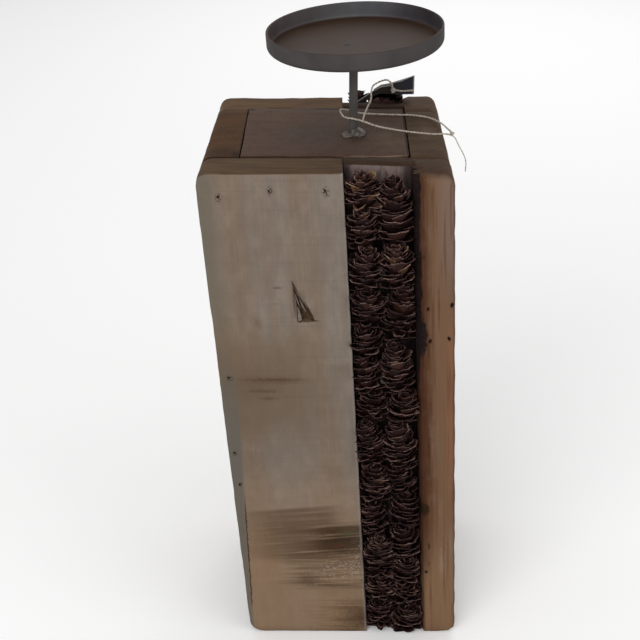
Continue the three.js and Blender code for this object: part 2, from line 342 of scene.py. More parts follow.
STEM_TWINE = smooth_route([
    (64, -24, -14), (64, -22, -8), (60.5, -15, -2), (57, -7.5, 1.4),
    (44.8, -4, 1), (31, -1, 1.4), (21.5, -2, 3.4), (13, -3, 5.8), (5.5, -3, 8.6),
    (0, -2.6, 10), (-5, -1.5, 10.6), (-7.5, 6, 11.4), (-6.5, 14, 9.5),
    (-1.5, 20, 6.5), (3.5, 24, 3.5), (12, 27.5, 1.4), (27, 27, 1), (37, 26, 1),
    (45.5, 22, 1), (51.7, 14, 1), (55.5, 3, 1.2), (57, -4.5, 2.2)])
TAG_TWINE = smooth_route([
    (5.5, -1.9, 8.7), (6.4, 4, 9.7), (8.4, 14, 10.6), (11, 30, 10), (11.5, 44, 9.6), (13, 49.8, 11.5),
    (18, 50.2, 14.2), (21.5, 48.6, 15.2), (24, 46.4, 13.5), (25, 46.2, 10.4),
    (30, 46.4, 9.0), (35, 46.4, 9.2), (37.2, 47.2, 9), (37.2, 49.2, 8.6), (32, 49.8, 8.4)])
print("twine lengths in metres:", round(route_length(STEM_TWINE), 3), round(route_length(TAG_TWINE), 3))

# %% Twine along a route
PLY_RADIUS, PLY_OFFSET, TWIST_LENGTH, HAIR_LENGTH = 0.34 * MM, 0.28 * MM, 4.2 * MM, 1.5 * MM
HAIRS_PER_SQUARE_METRE = 60000.0
KNOT_STEPS = 48


def twine_mesh(route, closed=False, thin=1.0):
    """Two twisted plies and their hairs along a line of points, thin times as thick as the twine."""
    curve = bpy.data.curves.new("route", "CURVE")
    curve.dimensions = "3D"
    spline = curve.splines.new("POLY")
    spline.points.add(len(route) - 1)
    for point, place in zip(spline.points, route):
        point.co = (*place, 1)
    spline.use_cyclic_u = closed
    mesh = run_tree(twine_tree, bpy.data.objects.new("route", curve), {
        "Ply radius": PLY_RADIUS * thin, "Ply offset": PLY_OFFSET * thin, "Twist length": TWIST_LENGTH,
        "Hairs per square metre": HAIRS_PER_SQUARE_METRE, "Hair length": HAIR_LENGTH, "Material": jute})
    mesh.shade_smooth()
    return mesh


def knot(name, x, y, height, size):
    """A small closed trefoil above the block's top, which looks like a tight overhand knot."""
    centre = Vector((x, y, BLOCK_HEIGHT + height)) * MM
    lobes = []
    for step in range(KNOT_STEPS):
        t = math.tau * step / KNOT_STEPS
        x, z = math.sin(t) + 2 * math.sin(2 * t), math.cos(t) - 2 * math.cos(2 * t)
        lobes.append(centre + size * MM / 3 * Vector((x, -math.sin(3 * t), z)))
    return keep(name, twine_mesh(lobes, closed=True), "jute_twine")


# %% Twine pieces
# The tail runs from the loose end to the knot. It has lost some of its fibres, so it is thinner.
TAIL_END, TAIL_THIN = 30, 0.6
stem_knot = knot("stem_twine_knot", 57, -6, 1.8, 1.0)
tag_knot = knot("tag_twine_knot", 25, 46.2, 9.4, 1.3)
tail = twine_mesh(STEM_TWINE[:TAIL_END + 1], thin=TAIL_THIN)
stem_twine = keep("stem_twine", joined("stem_twine", [tail, twine_mesh(STEM_TWINE[TAIL_END:])]),
                  "jute_twine", "tag_twine", material=jute)
tag_twine = keep("tag_loop_twine", twine_mesh(TAG_TWINE), "jute_twine", "tag_loop")
print("faces in the twine:", len(stem_twine.data.polygons) + len(tag_twine.data.polygons))

# %% [markdown]
# ## Larch cones
# A larch cone is an egg of thin rounded scales on a short core. The scales stand in spirals, each
# one turned on from the last by the golden angle, and their rims curl outwards, so that light
# catches the rims while the gaps between them stay dark. One scale is modelled as a closed
# cupped plate, and Geometry Nodes set it round each cone with its own size, turn and seed.

# %% Closed sheets
def closed_sheet(form, outer, inner):
    """Faces on two grids of points that lie back to back, and round their border."""
    rows, steps = len(outer) - 1, len(outer[0]) - 1
    for row in range(rows):
        for step in range(steps):
            corners = ((row, step), (row, step + 1), (row + 1, step + 1), (row + 1, step))
            form.faces.new([outer[i][j] for i, j in corners])
            form.faces.new([inner[i][j] for i, j in reversed(corners)])
    border = [(0, step) for step in range(steps)] + [(row, steps) for row in range(rows)]
    border += [(rows, step) for step in range(steps, 0, -1)] + [(row, 0) for row in range(rows, 0, -1)]
    for (i, j), (k, m) in zip(border, border[1:] + border[:1]):
        form.faces.new((outer[i][j], inner[i][j], inner[k][m], outer[k][m]))
    bmesh.ops.recalc_face_normals(form, faces=form.faces)


# %% One cone scale
# Sizes in millimetres: how far the scale's foot is from the axis, how far it spreads and rises,
# how far its rim curls out and drops, and how far it waves and cups.
FOOT_REACH, SPREAD, RISE = 4.2, 3.5, 8.2
CURL_OUT, CURL_DOWN, WAVE, CUP = 1.0, 0.3, 0.35, 0.5
SCALE_HALF_WIDTH, SCALE_THICKNESS = 7.2, 0.5
# The curl starts at this share of the length, where the outline starts to round off.
CURL_FROM, ROUNDING = 0.7, 0.36


def scale_mesh(across=6, rows=4):
    """A cupped plate that grows outwards and upwards from the cone's axis, in metres."""
    form = bmesh.new()
    rim = form.verts.layers.float.new("rim")
    sheets = []
    for inside in (0, SCALE_THICKNESS):
        grid = []
        for row in range(rows + 1):
            share = row / rows
            widening = 0.5 + 0.5 * share / CURL_FROM
            if share >= CURL_FROM:
                widening = math.sqrt(1 - ((share - CURL_FROM) / ROUNDING) ** 2)
            curl = how_far(share, CURL_FROM, 1) ** 2
            line = []
            for step in range(across + 1):
                u = 2 * step / across - 1
                wave = WAVE * math.sin(4.4 * u + 0.7) * share ** 3
                reach = FOOT_REACH + SPREAD * share + CURL_OUT * curl + wave - inside * 0.9
                height = RISE * share - CURL_DOWN * curl - (CUP * u * u - wave) * share + inside * 0.4
                turn = u * SCALE_HALF_WIDTH * widening / (reach + 1.5)
                place = Vector((reach * math.cos(turn), reach * math.sin(turn), height))
                vertex = form.verts.new(place * MM)
                vertex[rim] = max(share ** 6, abs(u) ** 8 * share)
                line.append(vertex)
            grid.append(line)
        sheets.append(grid)
    closed_sheet(form, *sheets)
    mesh = mesh_from(form, "cone_scale")
    mesh.shade_smooth()
    mesh.set_sharp_from_angle(angle=math.radians(55))
    return mesh


scale_pattern = bpy.data.objects.new("cone_scale", scale_mesh())
SCENE.collection.objects.link(scale_pattern)
print("faces in one scale:", len(scale_pattern.data.polygons))

# %% [markdown]
# The cone's outline is a blunt egg, widest a third of the way up. Each scale's size follows
# that outline, and its slant changes on the way up: the lowest scales spread flat, the middle
# ones stand like rose petals and the small top ones close in a bud.

# %% Larch cone tree
GOLDEN_ANGLE = math.radians(137.508)
WIDEST_AT, TAPER, BLUNTNESS = 0.34, 0.80, 2.5
FOOT, BUD = 0.8 * MM, 1.8 * MM
SMALLEST, LARGEST = 0.80, 1.10
HEIGHT_BY_WIDTH, LEAST_HEIGHT = 0.7, 0.22
SWAY = Vector((0.13, 0.16, 0.25))
FLAT_SLANT, BUD_SLANT = 0.45, -0.35
TONE_SPREAD, CRINKLE = 0.42, 3.2 * MM
CORE_TOP, CORE_FOOT = 1.6 * MM, 6.0 * MM

tree, given = geometry_tree("larch_cone", {
    "Scale": "object", "Length": "size", "Width share": "size", "Scales": "count",
    "Scale width": "size", "Turn": "size", "Pale": "size", "Seed": "count", "Material": "material",
})
index = node(tree, "GeometryNodeInputIndex")
share = node(tree, "Math", {0: index, 1: given["Scales"]}, operation="DIVIDE")
room = node(tree, "Math", {0: given["Length"], 1: FOOT + BUD}, operation="SUBTRACT")
height = node(tree, "Math", {0: share, 1: room, 2: FOOT}, operation="MULTIPLY_ADD")
place = node(tree, "CombineXYZ", {"Z": height})
points = node(tree, "GeometryNodePoints", {"Count": given["Scales"], "Position": place})
# The egg: a scale's width falls off with its distance from the widest place.
off_widest = node(tree, "Math", {0: share, 1: WIDEST_AT}, operation="SUBTRACT")
apart = node(tree, "Math", {0: off_widest}, operation="ABSOLUTE")
spread = node(tree, "Math", {0: apart, 1: TAPER}, operation="DIVIDE")
lost = node(tree, "Math", {0: spread, 1: BLUNTNESS}, operation="POWER")
rounded = node(tree, "Math", {0: 1.0, 1: lost}, operation="SUBTRACT")
lip = node(tree, "Math", {0: rounded, 1: given["Width share"]}, operation="MULTIPLY")
uneven = node(tree, "FunctionNodeRandomValue", {2: SMALLEST, 3: LARGEST, "Seed": given["Seed"]},
              data_type="FLOAT")
wide = node(tree, "Math", {0: lip, 1: uneven}, operation="MULTIPLY")
tall = node(tree, "Math", {0: wide, 1: HEIGHT_BY_WIDTH, 2: LEAST_HEIGHT}, operation="MULTIPLY_ADD")
broad = node(tree, "Math", {0: wide, 1: given["Scale width"]}, operation="MULTIPLY")
grown = node(tree, "CombineXYZ", {"X": wide, "Y": broad, "Z": tall})
# The slant: flat at the foot and closed at the bud, with a little sway.
turn = node(tree, "Math", {0: index, 1: GOLDEN_ANGLE, 2: given["Turn"]}, operation="MULTIPLY_ADD")
sway = node(tree, "FunctionNodeRandomValue", {0: -SWAY, 1: SWAY, "Seed": given["Seed"]},
            data_type="FLOAT_VECTOR")
low_part = node(tree, "Math", {0: 1.0, 1: share}, operation="SUBTRACT")
opened = node(tree, "Math", {0: low_part, 1: 4.0}, operation="POWER")
closed = node(tree, "Math", {0: share, 1: 3.0}, operation="POWER")
closing = node(tree, "Math", {0: closed, 1: BUD_SLANT}, operation="MULTIPLY")
slant = node(tree, "Math", {0: opened, 1: FLAT_SLANT, 2: closing}, operation="MULTIPLY_ADD")
around = node(tree, "CombineXYZ", {"Y": slant, "Z": turn})
facing = node(tree, "VectorMath", {0: sway, 1: around}, operation="ADD")
pattern = node(tree, "GeometryNodeObjectInfo", {"Object": given["Scale"]}).outputs["Geometry"]
scales = node(tree, "GeometryNodeInstanceOnPoints", {
    "Points": points, "Instance": pattern, "Rotation": facing, "Scale": grown})
own = node(tree, "FunctionNodeRandomValue", {2: -TONE_SPREAD, 3: TONE_SPREAD, "Seed": 31},
           data_type="FLOAT")
tone = node(tree, "Math", {0: own, 1: given["Pale"]}, operation="ADD")
toned = node(tree, "GeometryNodeStoreNamedAttribute", {"Geometry": scales, "Name": "tone", "Value": tone},
             data_type="FLOAT", domain="INSTANCE")
core = node(tree, "GeometryNodeMeshCone", {
    "Vertices": 12, "Radius Top": CORE_TOP, "Radius Bottom": CORE_FOOT, "Depth": room})
both = node(tree, "GeometryNodeJoinGeometry", {0: toned})
tree.links.new(core.outputs[0], both.inputs[0])
whole = node(tree, "GeometryNodeRealizeInstances", {"Geometry": both})
# Dry scales are crinkled: a noise with waves of about 4 mm moves their points by up to 0.8 mm.
waves = node(tree, "TexNoise", {"W": given["Seed"], "Scale": 1 / (4 * MM), "Detail": 1.0},
             noise_dimensions="4D")
off_middle = node(tree, "VectorMath", {0: waves.outputs["Color"], 1: (0.5, 0.5, 0.5)}, operation="SUBTRACT")
push = node(tree, "VectorMath", {0: off_middle, "Scale": CRINKLE}, operation="SCALE")
crinkled = node(tree, "GeometryNodeSetPosition", {"Geometry": whole, "Offset": push})
cone_tree = close_tree(tree, crinkled, given["Material"])
print("nodes in the cone's tree:", len(tree.nodes))

# %% [markdown]
# Dry larch scales are dark red-brown with a paler rim, which is partly wear and partly a painted
# highlight where light catches the rims. Here and there one has bleached to tan, and the highest
# cones are paler, partly from that bleaching and partly as painted light that falls from above.
# The tree stored two attributes for that: how near a point is to its scale's rim, and one random
# tone for each scale.

# %% Cone material
larch, tree = new_material("dry_larch_cone_scale")
rim = node(tree, "Attribute", attribute_name="rim").outputs["Fac"]
tone = node(tree, "Attribute", attribute_name="tone").outputs["Fac"]
place = node(tree, "TexCoord").outputs["Object"]
body = node(tree, "ValToRGB", {"Fac": tone}, [
    (0.0, "#140908"), (0.5, "#251312"), (0.85, "#3C241C"), (1.0, "#624733")])
# The rim tone is partly wear and partly a painted highlight where light catches the rims.
edge = node(tree, "ValToRGB", {"Fac": tone}, [
    (0.0, "#372523"), (0.5, "#5A4541"), (0.85, "#7F6860"), (1.0, "#907660")])
# Fine streaks run along a scale, about 0.9 mm apart.
streaks = node(tree, "TexNoise", {"Vector": place, "Scale": 1 / (0.9 * MM), "Detail": 3.0})
near_rim = node(tree, "Math", {0: rim, 1: streaks}, operation="MULTIPLY")
worn_and_lit_rim = node(tree, "MapRange", {"Value": near_rim, 1: 0.32, 2: 0.58})
skin = node(tree, "Mix", {0: worn_and_lit_rim, 6: body, 7: edge}, data_type="RGBA")
ribs = node(tree, "Bump", {"Height": streaks, "Strength": 0.5, "Distance": 0.2 * MM})
surface(tree, {"Base Color": skin, "Roughness": 0.65, "Specular IOR Level": 0.1, "Normal": ribs})

# %% [markdown]
# Each cone stands for one cone of the CAD model and takes its place and length from that
# node's box. The cones are pressed into the slot and glued against a strip, so they are
# flattened, and each leans a little its own way. Their tips lean forward, so that each shows
# its rosette over the foot of the next one. Some have broad scales and some have more,
# narrower ones. The lowest cones stand on the table, so what would hang below it is pressed flat.

# %% Cones in the slots
SLOT_COLUMNS = {"left": leaning(19.57, 0), "right": leaning(38.43, 0)}
SLOT_WALLS, SLOT_MOUTH = (10.0, 48.0), 60.3
CONE_AXIS_Y = 51.8
CONE_FLATNESS = 0.76
CONE_TIP_FORWARD = 6.0
CONE_SHIFT = 0.8
CONE_OVERLAP = 1.2
SCALES_PER_MM = 1.5
# How pale the cones are at four heights, partly their own tan and partly painted light from above,
# and how far they may stand out of the slot and its top.
PALE_AT = (0, 150, 240, 300)
PALENESS_AND_PAINTED_LIGHT = {"front": (0.46, 0.30, 0.40, 0.50), "back": (0.4, 0.3, 0.3, 0.3)}
FARTHEST_OUT, HIGHEST, TAG_CLEARANCE = 62, BLOCK_HEIGHT + 3, 53.4
ABOVE_TABLE = 0.3
KEPT_OUT, KEPT_UP = 0.35, 0.25
PAST_MOUTH, IN_SLOT = 1.2, -0.2
# Narrower scales on the left. The highest cones are fuller and stand aside by so much.
SCALE_WIDTHS = {"left": (0.5, 0.6, 0.7), "right": (0.6, 0.8, 1.0)}
HIGHEST_FULLER = {"left": 0.0, "right": 0.7}
HIGHEST_ASIDE = {"left": -3.2, "right": -1.2}


def eased(value, limit, share):
    """A value that keeps only a share of what lies past a limit."""
    return limit + (value - limit) * share if value > limit else value


def fit_cone(vertex, face, towards):
    """Bend one point of a cone to the table, the slot and what lies on the top."""
    x, y, z = vertex.co / MM
    z = eased(max(z, ABOVE_TABLE), HIGHEST, KEPT_UP)
    y = towards * eased(y * towards, FARTHEST_OUT, KEPT_OUT)
    if face == "back" and z > BLOCK_HEIGHT - 1:
        y = max(y, TAG_CLEARANCE)
    # Scales bend where they meet the slot's walls, and only those in front of them spread.
    spread = PAST_MOUTH if abs(y) > SLOT_MOUTH else IN_SLOT
    u = min(max(x + LEAN_SLOPE * z, SLOT_WALLS[0] - spread), SLOT_WALLS[1] + spread)
    vertex.co = Vector((leaning(u, z), y, z)) * MM


dice = np.random.default_rng(7)
for name in sorted(n for n in nodes if "_cone_" in n and not n.endswith("backing")):
    face, column = name.split("_")[:2]
    towards = -1 if face == "front" else 1
    low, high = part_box(name)
    base = low.z / MM - CONE_OVERLAP
    length = high.z / MM - base
    pale = float(np.interp(base, PALE_AT, PALENESS_AND_PAINTED_LIGHT[face])) + float(dice.uniform(-0.16, 0.16))
    fuller, aside = 0.1 if face == "back" else 0.0, 0.0
    if high.z / MM > BLOCK_HEIGHT:
        fuller, aside = HIGHEST_FULLER[column], HIGHEST_ASIDE[column]
    narrow = float(dice.choice(SCALE_WIDTHS[column]))
    mesh = run_tree(cone_tree, bpy.data.objects.new("cone", bpy.data.meshes.new("cone")), {
        "Scale": scale_pattern, "Length": length * MM,
        "Width share": float(dice.uniform(1.18, 1.32)) + fuller, "Scale width": narrow,
        "Scales": int(length * SCALES_PER_MM / narrow), "Turn": float(dice.uniform(0, math.tau)),
        "Pale": pale, "Seed": int(dice.integers(1000)), "Material": larch})
    tilt = -towards * math.asin(CONE_TIP_FORWARD / length) + float(dice.uniform(-0.10, 0.10))
    sideways = -LEAN + float(dice.uniform(-0.14, 0.14))
    x = leaning(SLOT_COLUMNS[column] + aside, base) + float(dice.uniform(-CONE_SHIFT, CONE_SHIFT))
    mesh.transform(
        Matrix.Translation(Vector((x, towards * CONE_AXIS_Y, base)) * MM)
        @ Euler((tilt, sideways, 0)).to_matrix().to_4x4()
        @ Matrix.Diagonal((1, CONE_FLATNESS, 1, 1)))
    for vertex in mesh.vertices:
        fit_cone(vertex, face, towards)
    keep("larch_" + name, mesh, "larch_cone", name)
bpy.data.objects.remove(scale_pattern)

# %% [markdown]
# ## Boards
# The CAD boards have the right sizes, but their edges are as crisp as paper. Old boards have
# worn, dented edges. Each board is copied, its loose triangles are merged and cut into a grid
# with points close enough together to hold dents, and the points on its edges are pushed in
# a little by a noise.
#
# Then the points move to where the real joints are. The boards aren't all alike: the back ones
# differ in thickness, the panel was set askew, and some edges are wider or worn away. A move
# that fades from one plane of a board to the next keeps its other faces where they are.

# %% Worn boards
GRID = 6.0
EDGE_WEAR, FACE_WEAR = 0.55, 0.10


def plain_copy(name):
    """A CAD node's mesh with its doubles merged and its flat faces whole, in millimetres."""
    form = bmesh.new()
    form.from_mesh(nodes[name].data)
    bmesh.ops.scale(form, vec=(1 / MM, 1 / MM, 1 / MM), verts=form.verts)
    bmesh.ops.remove_doubles(form, verts=form.verts, dist=0.005)
    bmesh.ops.dissolve_limit(form, angle_limit=math.radians(0.5), verts=form.verts, edges=form.edges)
    return form


def cut_grid(form, axis):
    """Cut a mesh across one axis at even steps of about GRID."""
    places = [vertex.co[axis] for vertex in form.verts]
    low, size = min(places), max(places) - min(places)
    count = max(2, round(size / GRID))
    normal = Vector((0, 0, 0))
    normal[axis] = 1
    for cut in range(1, count):
        bmesh.ops.bisect_plane(form, geom=[*form.verts, *form.edges, *form.faces],
                               plane_co=normal * (low + size * cut / count), plane_no=normal)


def wear(form, seed):
    """Push a board's points in: edges by up to EDGE_WEAR, faces by up to FACE_WEAR."""
    form.normal_update()
    shift = Vector((seed * 31.7, seed * 17.3, seed * 5.1))
    pushes = []
    for vertex in form.verts:
        # On a face two parts of the normal are 0, and on an edge only one is.
        on_edge = how_far(sorted(abs(part) for part in vertex.normal)[1], 0, 0.35)
        dent = max(0.0, perlin.noise((vertex.co + shift) / 11) + 0.15)
        dent += 0.5 * abs(perlin.noise((vertex.co + shift) / 3.5))
        soft = 0.5 + 0.5 * perlin.noise((vertex.co - shift) / 25)
        pushes.append(vertex.normal * -(on_edge * EDGE_WEAR * dent + (1 - on_edge) * FACE_WEAR * soft))
    for vertex, push in zip(form.verts, pushes):
        vertex.co += push


# %% Where the boards differ from even ones
# All in millimetres. A pair is for the left and for the right of the block.
WIDER = (-1.0, 1.0)
NARROWER_BACK = (-3.3, 2.0)
LONGER_LEFT = 1.3
FOOT_CORNER, FOOT_CORNER_WORN = 12.0, 6.0
SLOT_MIDDLE, SLOT_RIGHT, SLOT_SKEW = 29.0, 48.0, 2.5
JAMMED = 0.04
PANEL_ASKEW, ASKEW_OVER = 3.2, 46
STRIP_FRONT, PANEL_FRONT, PANEL_INSIDE = -45, -37.5, -30
WORN_EDGE_HIGH, WORN_EDGE_DEEP, WORN_EDGE = 7, 9, 3
# The y of each board's planes before and after. The back boards get 18 and 27 mm thick.
EVEN = (FRONT, 30, 37.5)
BACK_MOVES = {
    "back_left_board": ((37.5, BACK), (42.1, BACK)),
    "back_right_board": ((37.5, BACK), (35.4, 62.6)),
    "back_cone_backing": ((37.5, BACK), (42.1, 64.6)),
    "right_side_board": (EVEN, (FRONT, 30, 35.25)),
    "left_side_board": (EVEN, (FRONT, 30, 42.43)),
    "top_panel": (EVEN, (FRONT, 30, 42.43)),
    "bottom_panel": (EVEN, (FRONT, 30, 42.43)),
}


def moved_joint(name, u, y):
    """The y of a point once its board's joints are where the real ones are."""
    if name in BACK_MOVES:
        y = float(np.interp(y, *BACK_MOVES[name]))
    # The panel and the front strip meet on a line that runs askew.
    askew = PANEL_ASKEW * how_far(u, 0, ASKEW_OVER)
    if name == "front_cone_backing":
        y += askew * how_far(y, STRIP_FRONT, PANEL_FRONT)
    if name.endswith("panel"):
        y += askew * max(0, (PANEL_INSIDE - y) / 7)
    return y


def round_foot(u, z):
    """The right foot's round corner, sharpened from FOOT_CORNER to FOOT_CORNER_WORN."""
    across, up = u - (HALF_WIDTH - FOOT_CORNER), FOOT_CORNER - z
    reach = math.hypot(across, up)
    if across <= 0 or up <= 0:
        return u, z
    along, rise = across / reach, up / reach
    flat = FOOT_CORNER - FOOT_CORNER_WORN
    edge = FOOT_CORNER / max(along, rise)
    if min(along, rise) * edge > flat:
        middle = (along + rise) * flat
        edge = middle + math.sqrt(middle ** 2 - 2 * flat ** 2 + FOOT_CORNER_WORN ** 2)
    return HALF_WIDTH - FOOT_CORNER + across * edge / FOOT_CORNER, FOOT_CORNER - up * edge / FOOT_CORNER


def settle(name, vertex):
    """Move a board's point to where the real board has it."""
    z, u = vertex.co.z, upright(vertex.co)
    y = moved_joint(name, u, vertex.co.y)
    u, z = round_foot(u, z)
    share = how_far(abs(u), HALF_WIDTH - 20, HALF_WIDTH)
    behind = (y - FRONT) / (BACK - FRONT)
    u += (WIDER[u > 0] - NARROWER_BACK[u > 0] * behind) * share ** 2 * (3 - 2 * share)
    # The boards on the left were sawn a little longer, so the top rises towards their front.
    z += LONGER_LEFT * (1 - 0.7 * behind) * how_far(u, 40, 0) * how_far(z, BLOCK_HEIGHT - 45, BLOCK_HEIGHT)
    if name == "back_right_board":
        # Beside the cones its edge was sawn askew, so the slot is narrower at the back.
        u -= SLOT_SKEW * how_far(u, SLOT_RIGHT + 3, SLOT_RIGHT) * how_far(y, 49, 53)
    if name == "front_right_board":
        y += (WORN_EDGE * how_far(z, BLOCK_HEIGHT - WORN_EDGE_HIGH, BLOCK_HEIGHT)
              * how_far(y, FRONT + WORN_EDGE_DEEP, FRONT))
    if name.endswith("backing"):
        # The strips are jammed between the boards, so no light shows past them.
        u += (u - SLOT_MIDDLE) * JAMMED
    vertex.co = leaning(u, z), y, z


def board_mesh(name, form):
    """A finished board's mesh in metres, smooth except across its real edges."""
    bmesh.ops.triangulate(form, faces=[face for face in form.faces if len(face.verts) > 4])
    bmesh.ops.scale(form, vec=(MM, MM, MM), verts=form.verts)
    mesh = mesh_from(form, name)
    mesh.shade_smooth()
    mesh.set_sharp_from_angle(angle=math.radians(32))
    return mesh


# %% [markdown]
# A splinter has been torn out of the front left board. The hole is deepest along its left
# side and its foot and runs out to the right. Slivers still stand in it. The hole is cut with
# a boolean, so that it throws a real shadow. Each corner has its own depth.

# %% Torn splinter
GOUGE = [
    (-22.4, 279.9, 0.4), (-17.6, 268.5, 0.3), (-14.6, 263.9, 0.3), (-11.4, 256.2, 0.5), (-10.9, 253.1, 2.2),
    (-13.9, 252.9, 3.4), (-16.7, 253.4, 3.8), (-21.1, 251.9, 3.2), (-20.8, 260.8, 3.0),
    (-20.9, 266.2, 2.4), (-21.8, 272.4, 1.4)]
SLIVERS = [[(-20.3, 262.5, 1.6), (-19.0, 258.5, 1.8), (-18.3, 253.4, 2.2), (-20.6, 252.6, 2.2)],
           [(-21.5, 272.0, 0.9), (-19.6, 266.0, 1.2), (-18.9, 262.0, 1.6), (-20.2, 265.5, 1.4)],
           [(-19.2, 268.5, 0.5), (-16.9, 263.0, 0.8), (-15.4, 258.5, 1.0), (-17.6, 262.5, 0.9)]]


def prism(form, outline, front_y):
    """Add a closed prism from (x, z, depth) corners, between front_y and each corner's depth."""
    near = [form.verts.new((leaning(x, z), front_y, z)) for x, z, depth in outline]
    far = [form.verts.new((leaning(x, z), FRONT + depth, z)) for x, z, depth in outline]
    form.faces.new(near)
    bmesh.ops.triangulate(form, faces=[form.faces.new(reversed(far))])
    for i in range(len(outline)):
        after = (i + 1) % len(outline)
        form.faces.new((near[i], far[i], far[after], near[after]))
    bmesh.ops.recalc_face_normals(form, faces=form.faces)
    return form


def cut_gouge(form):
    """The board with the torn hole cut out of its face."""
    solids = []
    for solid in (form, prism(bmesh.new(), GOUGE, FRONT - 2)):
        solids.append(bpy.data.objects.new("solid", mesh_from(solid, "solid")))
        SCENE.collection.objects.link(solids[-1])
    board, cutter = solids
    cut = board.modifiers.new("gouge", "BOOLEAN")
    cut.object, cut.operation, cut.solver = cutter, "DIFFERENCE", "EXACT"
    depsgraph = bpy.context.evaluated_depsgraph_get()
    result = bmesh.new()
    result.from_mesh(board.evaluated_get(depsgraph).to_mesh())
    for solid in solids:
        bpy.data.objects.remove(solid)
    return result


# %% Board pieces
BOARDS = {
    "front_left_board": "weathered_pine", "front_right_board": "red_pine",
    "back_left_board": "weathered_pine", "back_right_board": "red_pine",
    "left_side_board": "side_pine", "right_side_board": "side_pine",
    "top_panel": "panel_pine", "bottom_panel": "panel_pine",
    "front_cone_backing": "slot_pine", "back_cone_backing": "slot_pine",
}
boards = {}
for seed, (name, slot) in enumerate(BOARDS.items()):
    form = plain_copy(name)
    for axis in range(3):
        cut_grid(form, axis)
    wear(form, seed)
    for vertex in form.verts:
        settle(name, vertex)
    if name == "front_left_board":
        form = cut_gouge(form)
    boards[name] = keep("worn_" + name, board_mesh(name, form), slot, name)
flaps = bmesh.new()
for outline in SLIVERS:
    prism(flaps, outline, FRONT + 0.1)
# The slivers' torn wood is matt and mottled, paler than the hole and darker than the face.
torn = mottled("fresh_torn_pine", 1.5, 2.0, [(0.3, "#5A4F47"), (0.7, "#7A6F67")], {"Roughness": 0.85})
keep("splinter_flaps", board_mesh("splinter_flaps", flaps), "weathered_pine", material=torn)
print("faces in the boards:", sum(len(board.data.polygons) for board in boards.values()))

# %% [markdown]
# ## Wood
# All the boards are pine, so they share one recipe: growth rings round a pith, fibres along
# the grain, and the cross marks of a coarse saw. What differs from board to board is where
# the pith lies, how grey the weather has made it, and its own stains. The rings come from a
# distance to the pith, so they are lines on a face and arcs on an end, as in real wood.
#
# A board is painted as a maker would stain it, coat over coat. Each coat has a strength and
# any number of limits: a value, where the coat fades out, and where it is full. A limit is a
# Map Range node whose upper end is the strength so far, so a row of them multiplies.

# %% Wood recipe
RING_DARK, FIBRE_DARK, FIBRE_PALE = "#1E140E", "#20160F", "#D8CDBF"
SAW_DARK, SMUDGE_DARK, SMUDGE_PALE, JOINT_DIRT = "#2A1D13", "#33271D", "#C4B7A6", "#2A180A"
PATCH_DEPTH = 9


